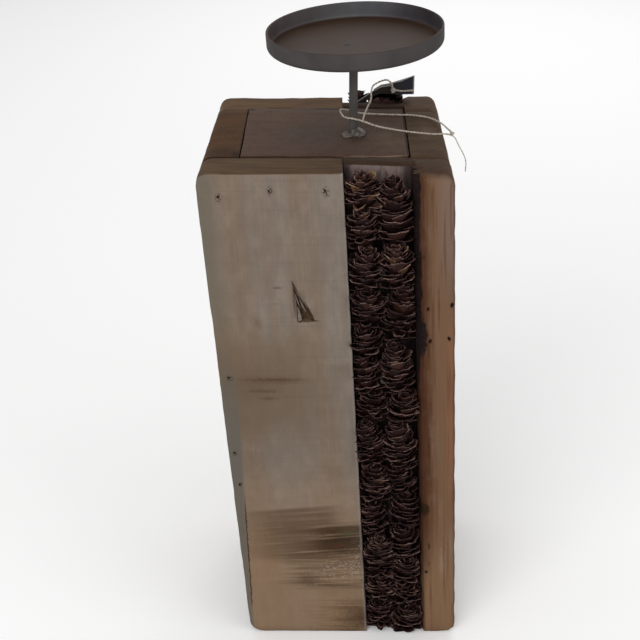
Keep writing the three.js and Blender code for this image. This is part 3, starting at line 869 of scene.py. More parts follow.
class PineBoard:
    """The wood of one board, painted coat over coat. Its lengths are millimetres."""

    def __init__(self, name, pale, warm, pith, seed, rings, spacing=3.2, fibre=0.12, saw=0.05, smudge=0.10):
        self.material, self.tree = new_material(name)
        tree = self.tree
        place = node(tree, "TexCoord").outputs["Object"]
        scaled = node(tree, "VectorMath", {0: place, "Scale": 1 / MM}, operation="SCALE")
        x, self.y, self.z = node(tree, "SeparateXYZ", {0: scaled}).outputs
        # The lean is taken out, so u stays the same along a board.
        self.u = node(tree, "Math", {0: self.z, 1: LEAN_SLOPE, 2: x}, operation="MULTIPLY_ADD")
        self.place = node(tree, "CombineXYZ", {0: self.u, 1: self.y, 2: self.z})
        self.rough = self.blotches((2.2, 2.2, 2.2), seed + 40)
        self.colour = pale
        # Broad bands about 16 mm wide follow the grain, where the weather has bitten unevenly.
        self.coat(warm, 1.0, (self.blotches((16, 16, 240), seed), 0.36, 0.64))
        # The rings bend with the trunk, by some 10 mm along the board.
        away = node(tree, "VectorMath", {0: self.place, 1: (*pith, 0)}, operation="SUBTRACT")
        flat = node(tree, "VectorMath", {0: away, 1: (1, 1, 0)}, operation="MULTIPLY")
        radius = node(tree, "VectorMath", {0: flat}, operation="LENGTH")
        bend = self.blotches((70, 70, 260), seed + 3)
        bent = node(tree, "Math", {0: bend, 1: 30.0, 2: radius}, operation="MULTIPLY_ADD")
        years = node(tree, "Math", {0: bent, 1: spacing}, operation="DIVIDE")
        year = node(tree, "Math", {0: years}, operation="FRACT")
        self.ring = (year, 0.35, 0.85), (year, 1.0, 0.9)
        self.coat(RING_DARK, rings, *self.ring)
        # Fibres are 0.5 to 1 mm wide and run 30 mm along the grain.
        self.fibres = self.blotches((0.8, 0.8, 34), seed + 7, 4.0)
        self.coat(FIBRE_DARK, fibre, (self.fibres, 0.45, 0.75))
        self.coat(FIBRE_PALE, fibre * 0.6, (self.fibres, 0.5, 0.25))
        # A coarse saw leaves cross marks about 1 mm apart.
        self.saw_marks = self.blotches((55, 55, 1.1), seed + 11, 3.0)
        self.coat(SAW_DARK, saw, (self.saw_marks, 0.5, 0.72))
        # Handling and weather leave smudges 4 to 10 mm across.
        self.smudges = self.blotches((6, 6, 11), seed + 19, 4.0)
        self.coat(SMUDGE_DARK, smudge, (self.smudges, 0.48, 0.70))
        self.coat(SMUDGE_PALE, smudge * 0.6, (self.smudges, 0.50, 0.30))
        normal = node(tree, "NewGeometry").outputs["Normal"]
        up = node(tree, "SeparateXYZ", {0: normal}).outputs[2]
        self.steep = node(tree, "Math", {0: up}, operation="ABSOLUTE")
        self.top = (self.steep, 0.72, 0.9)

    def blotches(self, size, seed, detail=2.0, place=None):
        """A noise whose blotches are about size millimetres along x, y and z."""
        shape = node(self.tree, "VectorMath", {
            0: place or self.place, 1: [1 / side for side in size], 2: (seed, seed * 0.37, seed * 0.61)},
            operation="MULTIPLY_ADD")
        return node(self.tree, "TexNoise", {"Vector": shape, "Scale": 1.0, "Detail": detail})

    def coat(self, colour, strength, *limits):
        """Lay a colour over the wood as far as every (value, none at, full at) limit lets it."""
        amount = strength
        for value, none_at, full_at in limits:
            amount = node(self.tree, "MapRange", {"Value": value, 1: none_at, 2: full_at, 4: amount},
                          interpolation_type="SMOOTHSTEP")
        self.colour = node(self.tree, "Mix", {0: amount, 6: self.colour, 7: colour}, data_type="RGBA")

    def patch(self, centre, half, ragged=0.5, soft=0.5):
        """A limit: an ellipsoid with a soft, ragged border."""
        away = node(self.tree, "VectorMath", {0: self.place, 1: centre}, operation="SUBTRACT")
        shares = node(self.tree, "VectorMath", {0: away, 1: half}, operation="DIVIDE")
        distance = node(self.tree, "VectorMath", {0: shares}, operation="LENGTH")
        border = node(self.tree, "Math", {0: self.rough, 1: ragged, 2: distance}, operation="MULTIPLY_ADD")
        return border, 1.0 + ragged / 2, 1.0 + ragged / 2 - soft

    def coats(self, *rows):
        """Coats in a table, one (colour, strength, limits) row each."""
        for row in rows:
            self.coat(*row)

    def front_stains(self, *rows):
        """Patches on the front: (colour, strength, x, z, half width, half height, ragged, soft, limits)."""
        for colour, strength, x, z, wide, high, ragged, soft, *limits in rows:
            spot = self.patch((x, FRONT, z), (wide, PATCH_DEPTH, high), ragged, soft)
            self.coat(colour, strength, spot, *limits)

    def top_stains(self, *rows):
        """Patches on the top: (colour, strength, x, y, half width, half depth, ragged, soft, limits)."""
        for colour, strength, x, y, wide, deep, ragged, soft, *limits in rows:
            spot = self.patch((x, y, BLOCK_HEIGHT), (wide, deep, PATCH_DEPTH), ragged, soft)
            self.coat(colour, strength, self.top, spot, *limits)

    def end_grain(self, colour, dark):
        """The sawn ends are darker, partly from the dirt they drink and partly as painted shade on the top,
        with pores and the rings as arcs.
        """
        end = (self.steep, 0.35, 0.7)
        self.coat(colour, 1.0, end)
        self.coat(dark, 0.6, end, (self.blotches((26, 7, 9), 17, 3.0), 0.40, 0.66))
        self.coat(RING_DARK, 0.16, end, *self.ring)

    def joint_dirt(self, strength, *limits):
        """Old dirt along a joint, on the highest few millimetres."""
        self.coat(JOINT_DIRT, strength, (self.z, BLOCK_HEIGHT - 4, BLOCK_HEIGHT - 2), *limits)

    def finish(self, board):
        """Add the relief of fibres and saw marks, and put the wood on its board."""
        relief = node(self.tree, "Math", {0: self.saw_marks, 1: 0.5, 2: self.fibres},
                      operation="MULTIPLY_ADD")
        bump = node(self.tree, "Bump", {"Height": relief, "Strength": 0.45, "Distance": 0.3 * MM})
        surface(self.tree, {
            "Base Color": self.colour, "Roughness": 0.8, "Specular IOR Level": 0.1, "Normal": bump})
        boards[board].data.materials.append(self.material)
        print(board, "is painted with", len(self.tree.nodes), "nodes")


# %% [markdown]
# The front left board is the palest: silver-beige above, warmer towards its foot, with brown
# water stains at two thirds of its height and a dark band of saw burns near the foot. The saw
# met the board askew, so the burns rise towards the right. Their noise is slanted to match.

# %% Front left board
wood = PineBoard("weathered_sawn_pine", "#7C7167", "#7B6B5D", (-25, 60), 1.0, rings=0.05, spacing=4.5,
                 fibre=0.06, saw=0.08, smudge=0.09)
u, z = wood.u, wood.z
wood.coats(
    ("#666055", 0.7, (u, -52, -70), (z, 130, 300)),
    ("#6A5744", 0.65, (z, 262, 225), (z, 150, 190), (u, 4, -34)),
    ("#8B6E51", 0.60, (z, 175, 55)),
    ("#54483C", 0.16, (z, 240, 200), (z, 125, 150)))
wood.front_stains(
    ("#56463A", 0.38, -52, 208, 40, 18, 0.5, 1.2),
    ("#523E2D", 0.45, -36, 211, 30, 4.2, 0.7, 0.9),
    ("#4A3626", 0.55, -38, 211.6, 24, 1.5, 0.7, 0.9),
    ("#543E2C", 0.55, -45, 203.2, 14, 2.0, 0.7, 0.9),
    ("#4C3726", 0.50, -42, 197.8, 8, 1.8, 0.7, 0.9),
    ("#513E2F", 0.65, -31, 275, 4.6, 1.1, 0.7, 0.9),
    ("#5B4636", 0.45, -33.5, 264.5, 4.2, 0.8, 0.7, 0.9),
    ("#5A4635", 0.35, -44, 251, 4, 6, 0.7, 0.9))
# The saw burns lie in streaks 1 to 4 mm high that fade out towards the left.
slanted_z = node(wood.tree, "Math", {0: u, 1: -0.09, 2: z}, operation="MULTIPLY_ADD")
slanted = node(wood.tree, "CombineXYZ", {0: u, 1: wood.y, 2: slanted_z})
streaks = wood.blotches((60, 60, 2.4), 23.0, 4.0, slanted)
wood.coats(
    ("#4A3524", 0.66, (slanted_z, 115.5, 112.5), (z, 63, 72), (streaks, 0.16, 0.60), (u, -84, -34),
     (u, 2, -16)),
    ("#3B2919", 0.80, (slanted_z, 101, 95), (z, 63, 72), (streaks, 0.25, 0.58), (u, -44, -8)))
wood.front_stains(
    ("#2B1C11", 0.72, -2, 85, 28, 15, 0.7, 1.0, (streaks, 0.1, 0.5)),
    ("#35261A", 0.72, -6, 75, 24, 4.4, 0.7, 0.9, (streaks, 0.1, 0.4)),
    ("#5E4F43", 0.40, 4, 219, 18, 9, 0.7, 1.2),
    ("#5F4E3F", 0.30, -4, 40, 34, 14, 0.7, 1.2),
    ("#4A4B35", 0.45, 1, 90, 7, 5, 0.8, 0.9),
    ("#54291C", 0.45, -6, 80, 6, 2, 0.8, 0.9),
    ("#4B3A2C", 0.60, -28, 49, 12, 10, 0.9, 1.1, (streaks, 0.2, 0.5)),
    ("#453325", 0.60, -10, 44, 22, 1.6, 0.8, 0.8))
hatching = wood.blotches((30, 30, 1.6), 37.0, 3.0)
wood.coats(
    ("#43301F", 0.50, (z, 76, 66), (z, 38, 44), (u, -58, -30), (hatching, 0.38, 0.62)),
    ("#5B3F24", 0.50, (z, 36, 26), (u, -46, 4), (hatching, 0.42, 0.60)))
# Dry glue and chalk stick in specks about a millimetre across.
specks = (wood.blotches((1.3, 1.3, 1.0), 29.0, 3.0), 0.51, 0.64), (wood.smudges, 0.36, 0.50)
wood.front_stains(
    ("#5C3F2E", 0.35, -38, 94, 28, 15, 0.7, 1.1),
    ("#9C9088", 0.62, -6, 57, 24, 16, 0.8, 0.9, *specks),
    ("#9C9088", 0.62, 6, 68, 6, 24, 0.8, 0.9, *specks),
    ("#412C1B", 0.90, 8, 13, 29, 26, 0.6, 1.2))
# The left edge is worn to a greenish grey strip with a soft border. Low down a dark crack
# follows the border. The edge at the slot is pale.
strip_border = node(wood.tree, "MapRange", {"Value": z, 1: 20.0, 2: 200.0, 3: 68.4, 4: 61.0})
uneven_u = node(wood.tree, "Math", {0: wood.rough, 1: 2.0, 2: u}, operation="MULTIPLY_ADD")
past_strip = node(wood.tree, "Math", {0: strip_border, 1: uneven_u}, operation="ADD")
wood.coats(
    ("#5F5B54", 0.85, (past_strip, 2.8, -0.6), (z, 250, 165)),
    ("#2F2219", 0.85, (past_strip, 0.6, 1.0), (past_strip, 1.9, 1.4), (z, 128, 105), (z, 20, 32)),
    ("#8E8782", 0.45, (u, 7.8, 9.4), (wood.steep, 0.9, 0.5)))
# The wood round each punched nail is torn and dark.
crumbs = (wood.blotches((1.0, 1.0, 1.3), 97.0), 0.44, 0.56)
wood.front_stains(*[("#332A25", 0.85, *mark, 0.6, 0.6, crumbs) for mark in (
    (-58.8, 331.8, 2.4, 3.8), (-30.3, 335.6, 2.6, 4.0), (0.2, 335.0, 2.9, 4.2),
    (-64.8, 212.6, 2.7, 2.5), (-66.9, 156.0, 2.0, 2.8), (-65.8, 130.8, 2.2, 2.8))])
in_hole = (wood.y, FRONT + 0.35, FRONT + 1.3)
wood.front_stains(
    ("#4A3626", 0.95, -16, 266, 9, 16, 0.2, 0.2, in_hole),
    ("#2A1C13", 0.80, -16, 266, 9, 16, 0.2, 0.2, in_hole, (wood.fibres, 0.44, 0.60)),
    ("#1E140D", 0.85, -14.5, 252.9, 7.5, 0.9, 0.4, 0.5),
    ("#33241A", 0.55, -22, 268, 1.1, 15, 0.8, 0.8))
# Its top end is darker, partly end grain and partly painted shade.
wood.end_grain("#584533", "#463527")
wood.joint_dirt(0.85, (wood.y, -39.3, -38.7), (wood.rough, 0.24, 0.36))
wood.finish("front_left_board")

# %% [markdown]
# The right board is resinous heartwood: orange-brown beside the slot, paler outwards, with
# strong flowing grain. Along the slot it keeps a dark strip of the tree's bark edge, which is
# darkened further as painted shade.

# %% Front right board
wood = PineBoard("resinous_pine_heartwood", "#5E3F2B", "#573621", (40, -30), 2.0, rings=0.20, spacing=5.5,
                 fibre=0.16, saw=0.0)
u, z = wood.u, wood.z
flow = wood.blotches((14, 14, 90), 51.0)
outward = node(wood.tree, "Math", {0: flow, 1: 10.0, 2: u}, operation="MULTIPLY_ADD")
wood.coats(
    ("#715641", 0.9, (outward, 57, 67)),
    ("#80634A", 0.75, (z, 115, 45)),
    ("#77655B", 0.65, (z, 255, 310), (u, 58, 66)),
    ("#63503F", 0.60, (z, 338.5, 344.5), (wood.blotches((9, 9, 4), 93.0), 0.2, 0.6)),
    ("#8E5F44", 0.28, (z, 262, 235), (z, 95, 150), (u, 63, 68)))
wood.front_stains(
    ("#6C6853", 0.35, 60, 160, 2.6, 26, 0.8, 1.2),
    ("#9C9085", 0.35, 62.5, 64, 2.8, 24, 0.8, 1.2),
    ("#7C5026", 0.35, 54, 118, 2.0, 34, 0.8, 1.2),
    ("#563A28", 0.45, 52, 66, 4.5, 18, 0.7, 1.1),
    ("#836A52", 0.40, 60.5, 110, 4.5, 18, 0.7, 1.2),
    ("#85705F", 0.45, 67.5, 80, 4.5, 26, 0.7, 1.2),
    ("#573B1B", 0.65, 53.6, 63, 1.2, 4.2, 0.8, 0.9),
    *[("#45260F", 0.55, *streak, 0.8, 1.0) for streak in (
        (55.9, 190, 1.7, 18), (54.6, 160, 1.3, 12), (55.2, 232, 1.2, 10), (61.5, 262, 1.0, 22))])
wood.coats(
    ("#341A0D", 0.60, (u, 58.5, 51), (z, 34, 100)),
    ("#2A120A", 0.60, (u, 52, 48.6), (z, 232, 205)),
    ("#443A37", 0.60, (u, 69, 70.6), (wood.y, FRONT + 4, FRONT + 2.5)))
wood.front_stains(*[("#3C2216", 0.65, *nail, 1.7, 2.8, 0.9, 1.0) for nail in (
    (69.0, 263.0), (55.1, 260.4), (67.2, 240.2), (56.1, 238.5))])
wood.coat("#4A2918", 0.50, (wood.blotches((3, 3, 75), 57.0, 3.0), 0.50, 0.70))
wood.front_stains(
    ("#1E0D07", 0.90, 51.8, 56, 1.5, 1.8, 0.5, 0.5),
    ("#2A140B", 0.75, 53.9, 79, 1.2, 4.0, 0.7, 0.8),
    ("#3A1D12", 0.75, 53.2, 294.5, 1.4, 1.9, 0.8, 0.7))
# The bark edge is a dark strip with lobes, and widens to lumps at two places. Its near-black
# tone is partly bark and partly painted shade beside the slot.
bark_and_shade_border = node(wood.tree, "MapRange", {"Value": z, 1: 188.0, 2: 245.0, 3: -48.2, 4: -51.4})
lobes = wood.blotches((5, 5, 9), 61.0, 3.0)
lobed_u = node(wood.tree, "Math", {0: lobes, 1: -4.0, 2: u}, operation="MULTIPLY_ADD")
past_bark_and_shade = node(wood.tree, "Math", {0: bark_and_shade_border, 1: lobed_u}, operation="ADD")
for limit in ((past_bark_and_shade, -1.5, -2.2), wood.patch((51, FRONT, 241), (4.4, 12, 17), 0.7, 0.4)):
    wood.coats(("#170E0E", 0.96, limit), ("#251A1B", 0.6, limit, (wood.rough, 0.45, 0.62)))
wood.coat("#281B0C", 0.94, wood.patch((50.5, FRONT, 110), (5.0, 12, 6.4), 0.5, 0.4))
# Its top end is darker, partly end grain and partly painted shade.
wood.end_grain("#4A392E", "#3A2A20")
wood.coat("#3F2A1B", 0.60, wood.top, wood.patch((60, -52, BLOCK_HEIGHT), (15, 6, 9), 0.5, 0.8))
wood.top_stains((JOINT_DIRT, 0.85, 48.8, -45, 2.2, 8, 0.6, 0.6))
wood.finish("front_right_board")

# %% [markdown]
# The other boards are plainer. Each still gets its own pith and seed, so that no two look
# alike. The strips behind the cones are in deep shade and stained by resin.

# %% Other boards
# Each has two tones on its faces, two on its ends, where the darker top is partly painted shade,
# its pith, its seed and how strong its rings are.
OTHER_BOARDS = {
    "back_left_board": ("weathered_pine_back", "#736659 #776350 #5E4833 #4A3727", (-40, -50), 3.0, 0.10),
    "back_right_board": ("heartwood_pine_back", "#674D39 #6E5541 #523F31 #403022", (75, 20), 4.0, 0.20),
    "left_side_board": ("rough_side_pine_left", "#6E6155 #735F4C #4D341F #3A2716", (-10, 0), 5.0, 0.10),
    "right_side_board": ("rough_side_pine_right", "#706154 #755F4B #4D3C2C #3E2D20", (25, 25), 6.0, 0.14),
    "bottom_panel": ("inner_sawn_pine", "#745F49 #7A644D #554434 #4A3A2C", (0, 90), 8.0, 0.15),
    # The back strip's near-black faces are resin stain and painted shade behind the cones.
    "back_cone_backing": ("sawn_slot_strip_back", "#130D0B #180F0C #38271F #2D1E18", (30, 90), 10.0, 0.10),
}
for board, (name, tones, pith, seed, rings) in OTHER_BOARDS.items():
    pale, warm, end, end_dark = tones.split()
    wood = PineBoard(name, pale, warm, pith, seed, rings)
    wood.end_grain(end, end_dark)
    if board == "left_side_board":
        # A dark wedge of dirt lies in the front corner of its top end.
        wood.top_stains(
            ("#2B1A0F", 0.60, -55, -34, 17, 15, 0.5, 0.7), (JOINT_DIRT, 0.85, -50, -33, 3.4, 6, 0.6, 0.6))
        wood.joint_dirt(0.9, (wood.y, -35.4, -36.2))
        wood.joint_dirt(0.8, (wood.u, -48.6, -48.0), (wood.rough, 0.20, 0.32))
    if board == "right_side_board":
        wood.top_stains(
            ("#6E5C4A", 0.50, 59, 0, 10, 14, 0.7, 1.0), ("#3A2919", 0.45, 52, 20, 9, 14, 0.7, 1.0))
    wood.finish(board)

# %% Front strip
# Its end grain shows at the top between the first cones and the panel, bleached on the right.
# Its near-black faces are resin stain and painted shade behind the cones.
wood = PineBoard("sawn_slot_strip_front", "#130D0B", "#180F0C", (30, -90), 9.0, 0.10)
wood.coats(
    ("#7A6A66", 0.88, (wood.z, 320, 334), (wood.blotches((2.5, 2.5, 9), 91.0, 3.0), 0.1, 0.6),
     (wood.u, 8, 18)),
    ("#1C1314", 0.75, (wood.u, 40, 45.5), (wood.steep, 0.7, 0.35)))
# Its top end is darker, partly end grain and partly painted shade.
wood.end_grain("#3E2D21", "#312318")
wood.coat(JOINT_DIRT, 0.85, wood.top, (wood.u, 11.0, 10.5), (wood.rough, 0.35, 0.48))
wood.finish("front_cone_backing")

# %% [markdown]
# The top panel's grain runs across, from left to right. Round the rod it is grey with dust
# and smeared glue, and a split runs along its back edge. Dirt fills the joints round it.

# %% Top panel
# The panel's dark tone on its top is partly painted shade, as on the other boards' tops.
wood = PineBoard("dusty_pine_panel", "#544439", "#523F32", (0, 300), 7.0, rings=0.05)
top = wood.top
across = wood.blotches((60, 1.4, 60), 71.0, 4.0)
wood.coats(("#544239", 1.0, top), ("#49372C", 0.5, top, (across, 0.42, 0.68)))
wood.top_stains(
    ("#5C4736", 0.5, -28, 22, 30, 24, 0.5, 1.2),
    ("#433A33", 0.55, -8, 0, 32, 26, 0.6, 1.0),
    ("#6A5E48", 0.36, 37, -8, 15, 30, 0.5, 1.2),
    ("#5E524A", 0.45, -8, 0, 32, 26, 0.6, 1.0, (wood.blotches((3.5, 2.5, 3), 79.0, 3.0), 0.55, 0.7)),
    ("#2B1F18", 0.85, -8, 38.4, 34, 1.2, 0.7, 0.6, (across, 0.3, 0.6)))
wood.coats(
    ("#2E241C", 0.18, top, (wood.smudges, 0.46, 0.66)),
    ("#2E241C", 0.16, top, (wood.blotches((2.6, 0.9, 3), 83.0, 3.0), 0.48, 0.64)))
wood.top_stains(("#2F2219", 0.75, 26, -37, 26, 3.5, 0.7, 0.7))
wood.joint_dirt(0.75, (wood.y, -35.3, -36.1), (wood.u, 12, 9), (wood.rough, 0.20, 0.32))
wood.joint_dirt(0.75, (wood.y, 39.9, 40.6), (across, 0.30, 0.50))
wood.joint_dirt(0.9, (wood.u, 46.0, 46.4), (wood.rough, 0.20, 0.32))
wood.top_stains(
    ("#2B1A10", 0.90, -45.5, 39.5, 2.6, 4.2, 0.5, 0.6),
    ("#2B1F18", 0.70, -35, 35, 3.4, 1.1, 0.7, 0.7),
    ("#20150F", 0.80, 2, 39, 15, 1.8, 0.7, 0.6, (across, 0.25, 0.5)))
# The front edge runs askew. Beside the slot a pale line along it is a painted highlight on the edge.
edge_y = node(wood.tree, "Math", {0: wood.u, 1: -PANEL_ASKEW / ASKEW_OVER, 2: wood.y},
              operation="MULTIPLY_ADD")
wood.coat("#8A7A6C", 0.80, top, (edge_y, -35.8, -36.6), (wood.u, 12, 16), (wood.u, 47, 46))
wood.finish("top_panel")

# %% [markdown]
# ## Nails
# The boards are nailed to the frame behind them. The nails were driven flush or just below the
# surface and have rusted, so each shows as a small, dark and uneven round. One head is turned
# on a lathe with a wobble, and Geometry Nodes set it on each point of a small mesh, with its
# own size, turn and slant.

# %% Nail tree
# The faces with nails: towards which side, whose finish, how large, and the (x, z) places.
NAIL_FACES = {
    "front_left_nails": (-1, "weathered_pine", 0.66, [
        (-59.2, 332.5), (-30.9, 335.8), (-0.3, 336.0), (-65.2, 213.3), (-67.3, 156.4), (-66.2, 131.1)]),
    "front_right_nails": (-1, "red_pine", 1.0, [
        (69.0, 263.4), (55.1, 260.8), (67.2, 240.6), (56.1, 238.9)]),
    "back_nails": (1, "weathered_pine", 1.0, [
        (-55, 333), (-6, 334), (-63, 250), (-62, 152), (-4, 148), (-60, 30), (-8, 28), (59, 331), (60, 182),
        (57, 27)]),
}
NAIL_SLANT = Vector((0.08, 0.08, 0.7))
SMALLEST_HEAD, LARGEST_HEAD = (0.7, 0.9, 0.8), (0.95, 1.3, 1.0)
tree, given = geometry_tree("punched_nails", {
    "Head": "object", "Size": "size", "Seed": "count", "Material": "material"})
lean = node(tree, "FunctionNodeRandomValue", {0: -NAIL_SLANT, 1: NAIL_SLANT, "Seed": given["Seed"]},
            data_type="FLOAT_VECTOR")
uneven = node(tree, "FunctionNodeRandomValue", {
    0: SMALLEST_HEAD, 1: LARGEST_HEAD, "Seed": given["Seed"]}, data_type="FLOAT_VECTOR")
size = node(tree, "VectorMath", {0: uneven, "Scale": given["Size"]}, operation="SCALE")
points = node(tree, "GeometryNodeMeshToPoints", {"Mesh": given["Geometry"]})
head = node(tree, "GeometryNodeObjectInfo", {"Object": given["Head"]}).outputs["Geometry"]
heads = node(tree, "GeometryNodeInstanceOnPoints", {
    "Points": points, "Instance": head, "Rotation": lean, "Scale": size})
nail_tree = close_tree(tree, heads, given["Material"])


# %% Turned solids
# The clock seeds this noise unless the script does, and in some runs the nails would be buried.
WOBBLE_SEED = 18
perlin.seed_set(WOBBLE_SEED)


def lathe(name, profile, steps, wobble=0.0, seed=0):
    """A closed solid turned round the z axis from (radius, z) points in mm that start and end on it."""
    form = bmesh.new()
    rings = []
    for radius, z in profile:
        if radius == 0:
            rings.append([form.verts.new((0, 0, z * MM))])
            continue
        ring = []
        for step in range(steps):
            angle = math.tau * step / steps
            spot = Vector((radius * math.cos(angle), radius * math.sin(angle), z))
            spot += wobble * perlin.noise_vector(spot / 2.5 + Vector((seed, 0, 0)))
            ring.append(form.verts.new(spot * MM))
        rings.append(ring)
    for low, high in zip(rings, rings[1:]):
        for step in range(steps):
            after = (step + 1) % steps
            corners = [low[step % len(low)], low[after % len(low)]]
            corners += [high[after % len(high)], high[step % len(high)]]
            form.faces.new(dict.fromkeys(corners))
    bmesh.ops.recalc_face_normals(form, faces=form.faces)
    mesh = mesh_from(form, name)
    mesh.shade_smooth()
    return mesh


def arc(centre, radius, start, end, steps):
    """Points on an arc round a centre, with its angles in degrees."""
    angles = [math.radians(start + (end - start) * step / steps) for step in range(steps + 1)]
    return [(centre[0] + radius * math.cos(a), centre[1] + radius * math.sin(a)) for a in angles]


# %% Nail heads
# Rusted steel wire is almost black brown and matt, mottled by spots of rust about 0.8 mm across.
rusty = mottled("rusted_nail_steel", 0.8, 3.0, [(0.35, "#150D0A"), (0.55, "#22150F"), (0.7, "#35241A")],
                {"Roughness": 0.9, "Specular IOR Level": 0.04})
HEAD_PROFILE = [(0, -0.8), (0.95, -0.8), (1.1, 0.0), (0.8, 0.12), (0.5, 0.0), (0.25, 0.05), (0, 0.0)]
nail_head = bpy.data.objects.new("nail_head", lathe("nail_head", HEAD_PROFILE, 16, 0.75))
SCENE.collection.objects.link(nail_head)
for seed, (name, (towards, slot, size, spots)) in enumerate(NAIL_FACES.items(), 3):
    places = bpy.data.meshes.new(name)
    places.from_pydata([Vector((leaning(x, z), -z * towards, -FRONT)) * MM for x, z in spots], [], [])
    mesh = run_tree(nail_tree, bpy.data.objects.new(name, places), {
        "Head": nail_head, "Size": size, "Seed": seed, "Material": rusty})
    # The heads were set facing up, so the mesh is turned to face the front or the back.
    mesh.transform(Matrix.Rotation(math.radians(-90 * towards), 4, "X"))
    keep(name, mesh, slot)
bpy.data.objects.remove(nail_head)
print("nails:", sum(len(face[-1]) for face in NAIL_FACES.values()))

# %% [markdown]
# ## Dish and rod
# The dish is pressed from thin sheet, so its wall meets the floor in a soft bend and its rim is
# a rounded edge. It is welded to a plain rod, with a small collar of weld under the floor. A
# lathe suits both: one outline each, turned round the axis. They have one coat of dark grey
# lacquer: satin, neutral grey on the walls and brown with dust on the floor. The inside of the
# dish's wall carries painted reflections: brown on the left, a pale sheen in the middle and dark
# on the right.

# %% Dish mesh
DISH_RADIUS, DISH_HEIGHT, DISH_SHEET, DISH_BEND, HALF_WALL = 50.0, 10.3, 1.2, 3.0, 5.0
ROD_Y, ROD_RADIUS, COLLAR_RADIUS = 1.5, 2.5, 3.2
DISH_PLACE = Vector((1.0, ROD_Y, BLOCK_HEIGHT + 52.7))
bend_at = (DISH_RADIUS - DISH_BEND, DISH_BEND)
rim_at = (DISH_RADIUS - DISH_SHEET / 2, DISH_HEIGHT - DISH_SHEET / 2)
outline = [(0, 0), (12, 0), (30, 0), *arc(bend_at, DISH_BEND, -90, 0, 8), (DISH_RADIUS, HALF_WALL)]
outline += [*arc(rim_at, DISH_SHEET / 2, 0, 180, 8), (DISH_RADIUS - DISH_SHEET, HALF_WALL)]
outline += arc(bend_at, DISH_BEND - DISH_SHEET, 0, -90, 6)
outline += [(radius, DISH_SHEET) for radius in (36, 12, 2.2, 1.4, 0)]
dish_mesh = lathe("dressed_dish", outline, 144)
dish_mesh.transform(Matrix.Translation(DISH_PLACE * MM) @ Matrix.Rotation(-LEAN, 4, "Y"))
low, high = BLOCK_HEIGHT - 13.7, BLOCK_HEIGHT + 53.0
outline = [(0, low), (2.2, low), (ROD_RADIUS, low + 0.4)]
outline += [(ROD_RADIUS, low + share * (high - low)) for share in (0.25, 0.5, 0.75, 0.96)]
outline += [(2.6, high - 1.2), (3.1, high - 0.5), (COLLAR_RADIUS, high), (0, high)]
rod_mesh = lathe("dressed_stem", outline, 48)
rod_mesh.transform(Matrix.Translation((0, ROD_Y * MM, 0)))
print("faces in the dish and rod:", len(dish_mesh.polygons), len(rod_mesh.polygons))


# %% Lacquer
def lacquer(name, walls, inside, floor_tone, roughness):
    """Dark grey stove lacquer on steel, with dust on what faces up, faint rubbed blotches and painted
    reflections on the inside of the wall.
    """
    material, tree = new_material(name)
    place = node(tree, "TexCoord").outputs["Object"]
    normal = node(tree, "NewGeometry").outputs["Normal"]
    up = node(tree, "SeparateXYZ", {0: normal}).outputs[2]
    dust = node(tree, "MapRange", {"Value": up, 1: 0.5, 2: 0.95})
    # The inside of the wall faces the dish's middle. Its tones run from left to right as painted
    # reflections: brown on the left where the dish's floor is mirrored, a pale sheen in the middle
    # and dark on the right.
    outwards = node(tree, "VectorMath", {0: place, 1: DISH_PLACE * MM}, operation="SUBTRACT")
    away = node(tree, "VectorMath", {0: outwards, 1: normal}, operation="DOT_PRODUCT")
    inner = node(tree, "MapRange", {"Value": away, 1: 0.0, 2: -20 * MM})
    across_dish = node(tree, "SeparateXYZ", {0: outwards}).outputs[0]
    share = node(tree, "MapRange", {"Value": across_dish, 1: -DISH_RADIUS * MM, 2: DISH_RADIUS * MM})
    reflection_lining = node(tree, "ValToRGB", {"Fac": share}, inside)
    wall = node(tree, "Mix", {0: inner, 6: walls, 7: reflection_lining}, data_type="RGBA")
    colour = node(tree, "Mix", {0: dust, 6: wall, 7: floor_tone}, data_type="RGBA")
    rubbed = node(tree, "TexNoise", {"Vector": place, "Scale": 1 / (14 * MM), "Detail": 5.0})
    shade = node(tree, "MapRange", {"Value": rubbed, 1: 0.35, 2: 0.65, 3: 0.86, 4: 1.12})
    toned = node(tree, "Mix", {0: 1.0, 6: colour, 7: shade}, data_type="RGBA", blend_type="MULTIPLY")
    # Where the weld of the rod burnt through, the floor has a small dark spot.
    spot = Vector((-4.6, -4.7, 1.4)) * MM
    from_spot = node(tree, "VectorMath", {0: outwards, 1: spot}, operation="DISTANCE")
    off_spot = node(tree, "MapRange", {"Value": from_spot, 1: 1.6 * MM, 2: 2.6 * MM})
    burnt = node(tree, "Mix", {0: off_spot, 6: "#15100E", 7: toned}, data_type="RGBA")
    # Orange peel in the lacquer is about a millimetre across.
    peel = node(tree, "TexNoise", {"Vector": place, "Scale": 1 / (1.2 * MM), "Detail": 2.0})
    bump = node(tree, "Bump", {"Height": peel, "Strength": 0.25, "Distance": 0.05 * MM})
    gloss = node(tree, "MapRange", {"Value": rubbed, 3: roughness - 0.08, 4: roughness + 0.10})
    surface(tree, {"Base Color": burnt, "Roughness": gloss, "Specular IOR Level": 0.06, "Normal": bump})
    return material


# Painted reflections on the inside of the dish's wall, from left to right.
PAINTED_REFLECTIONS = [(0.04, "#504646"), (0.1, "#564E50"), (0.22, "#504C4C"), (0.5, "#5E5E60"), (0.74, "#4A484B"),
          (0.86, "#3C383B"), (0.94, "#332F32"), (1.0, "#403C3E")]
keep("dressed_dish", dish_mesh, "grey_metal", "candle_dish",
     material=lacquer("satin_grey_stove_lacquer", "#454141", PAINTED_REFLECTIONS, "#36281F", 0.55))
keep("dressed_stem", rod_mesh, "grey_metal", "dish_stem",
     material=lacquer("rubbed_grey_rod_lacquer", "#504D4B", [(0.0, "#504D4B")], "#504D4B", 0.5))

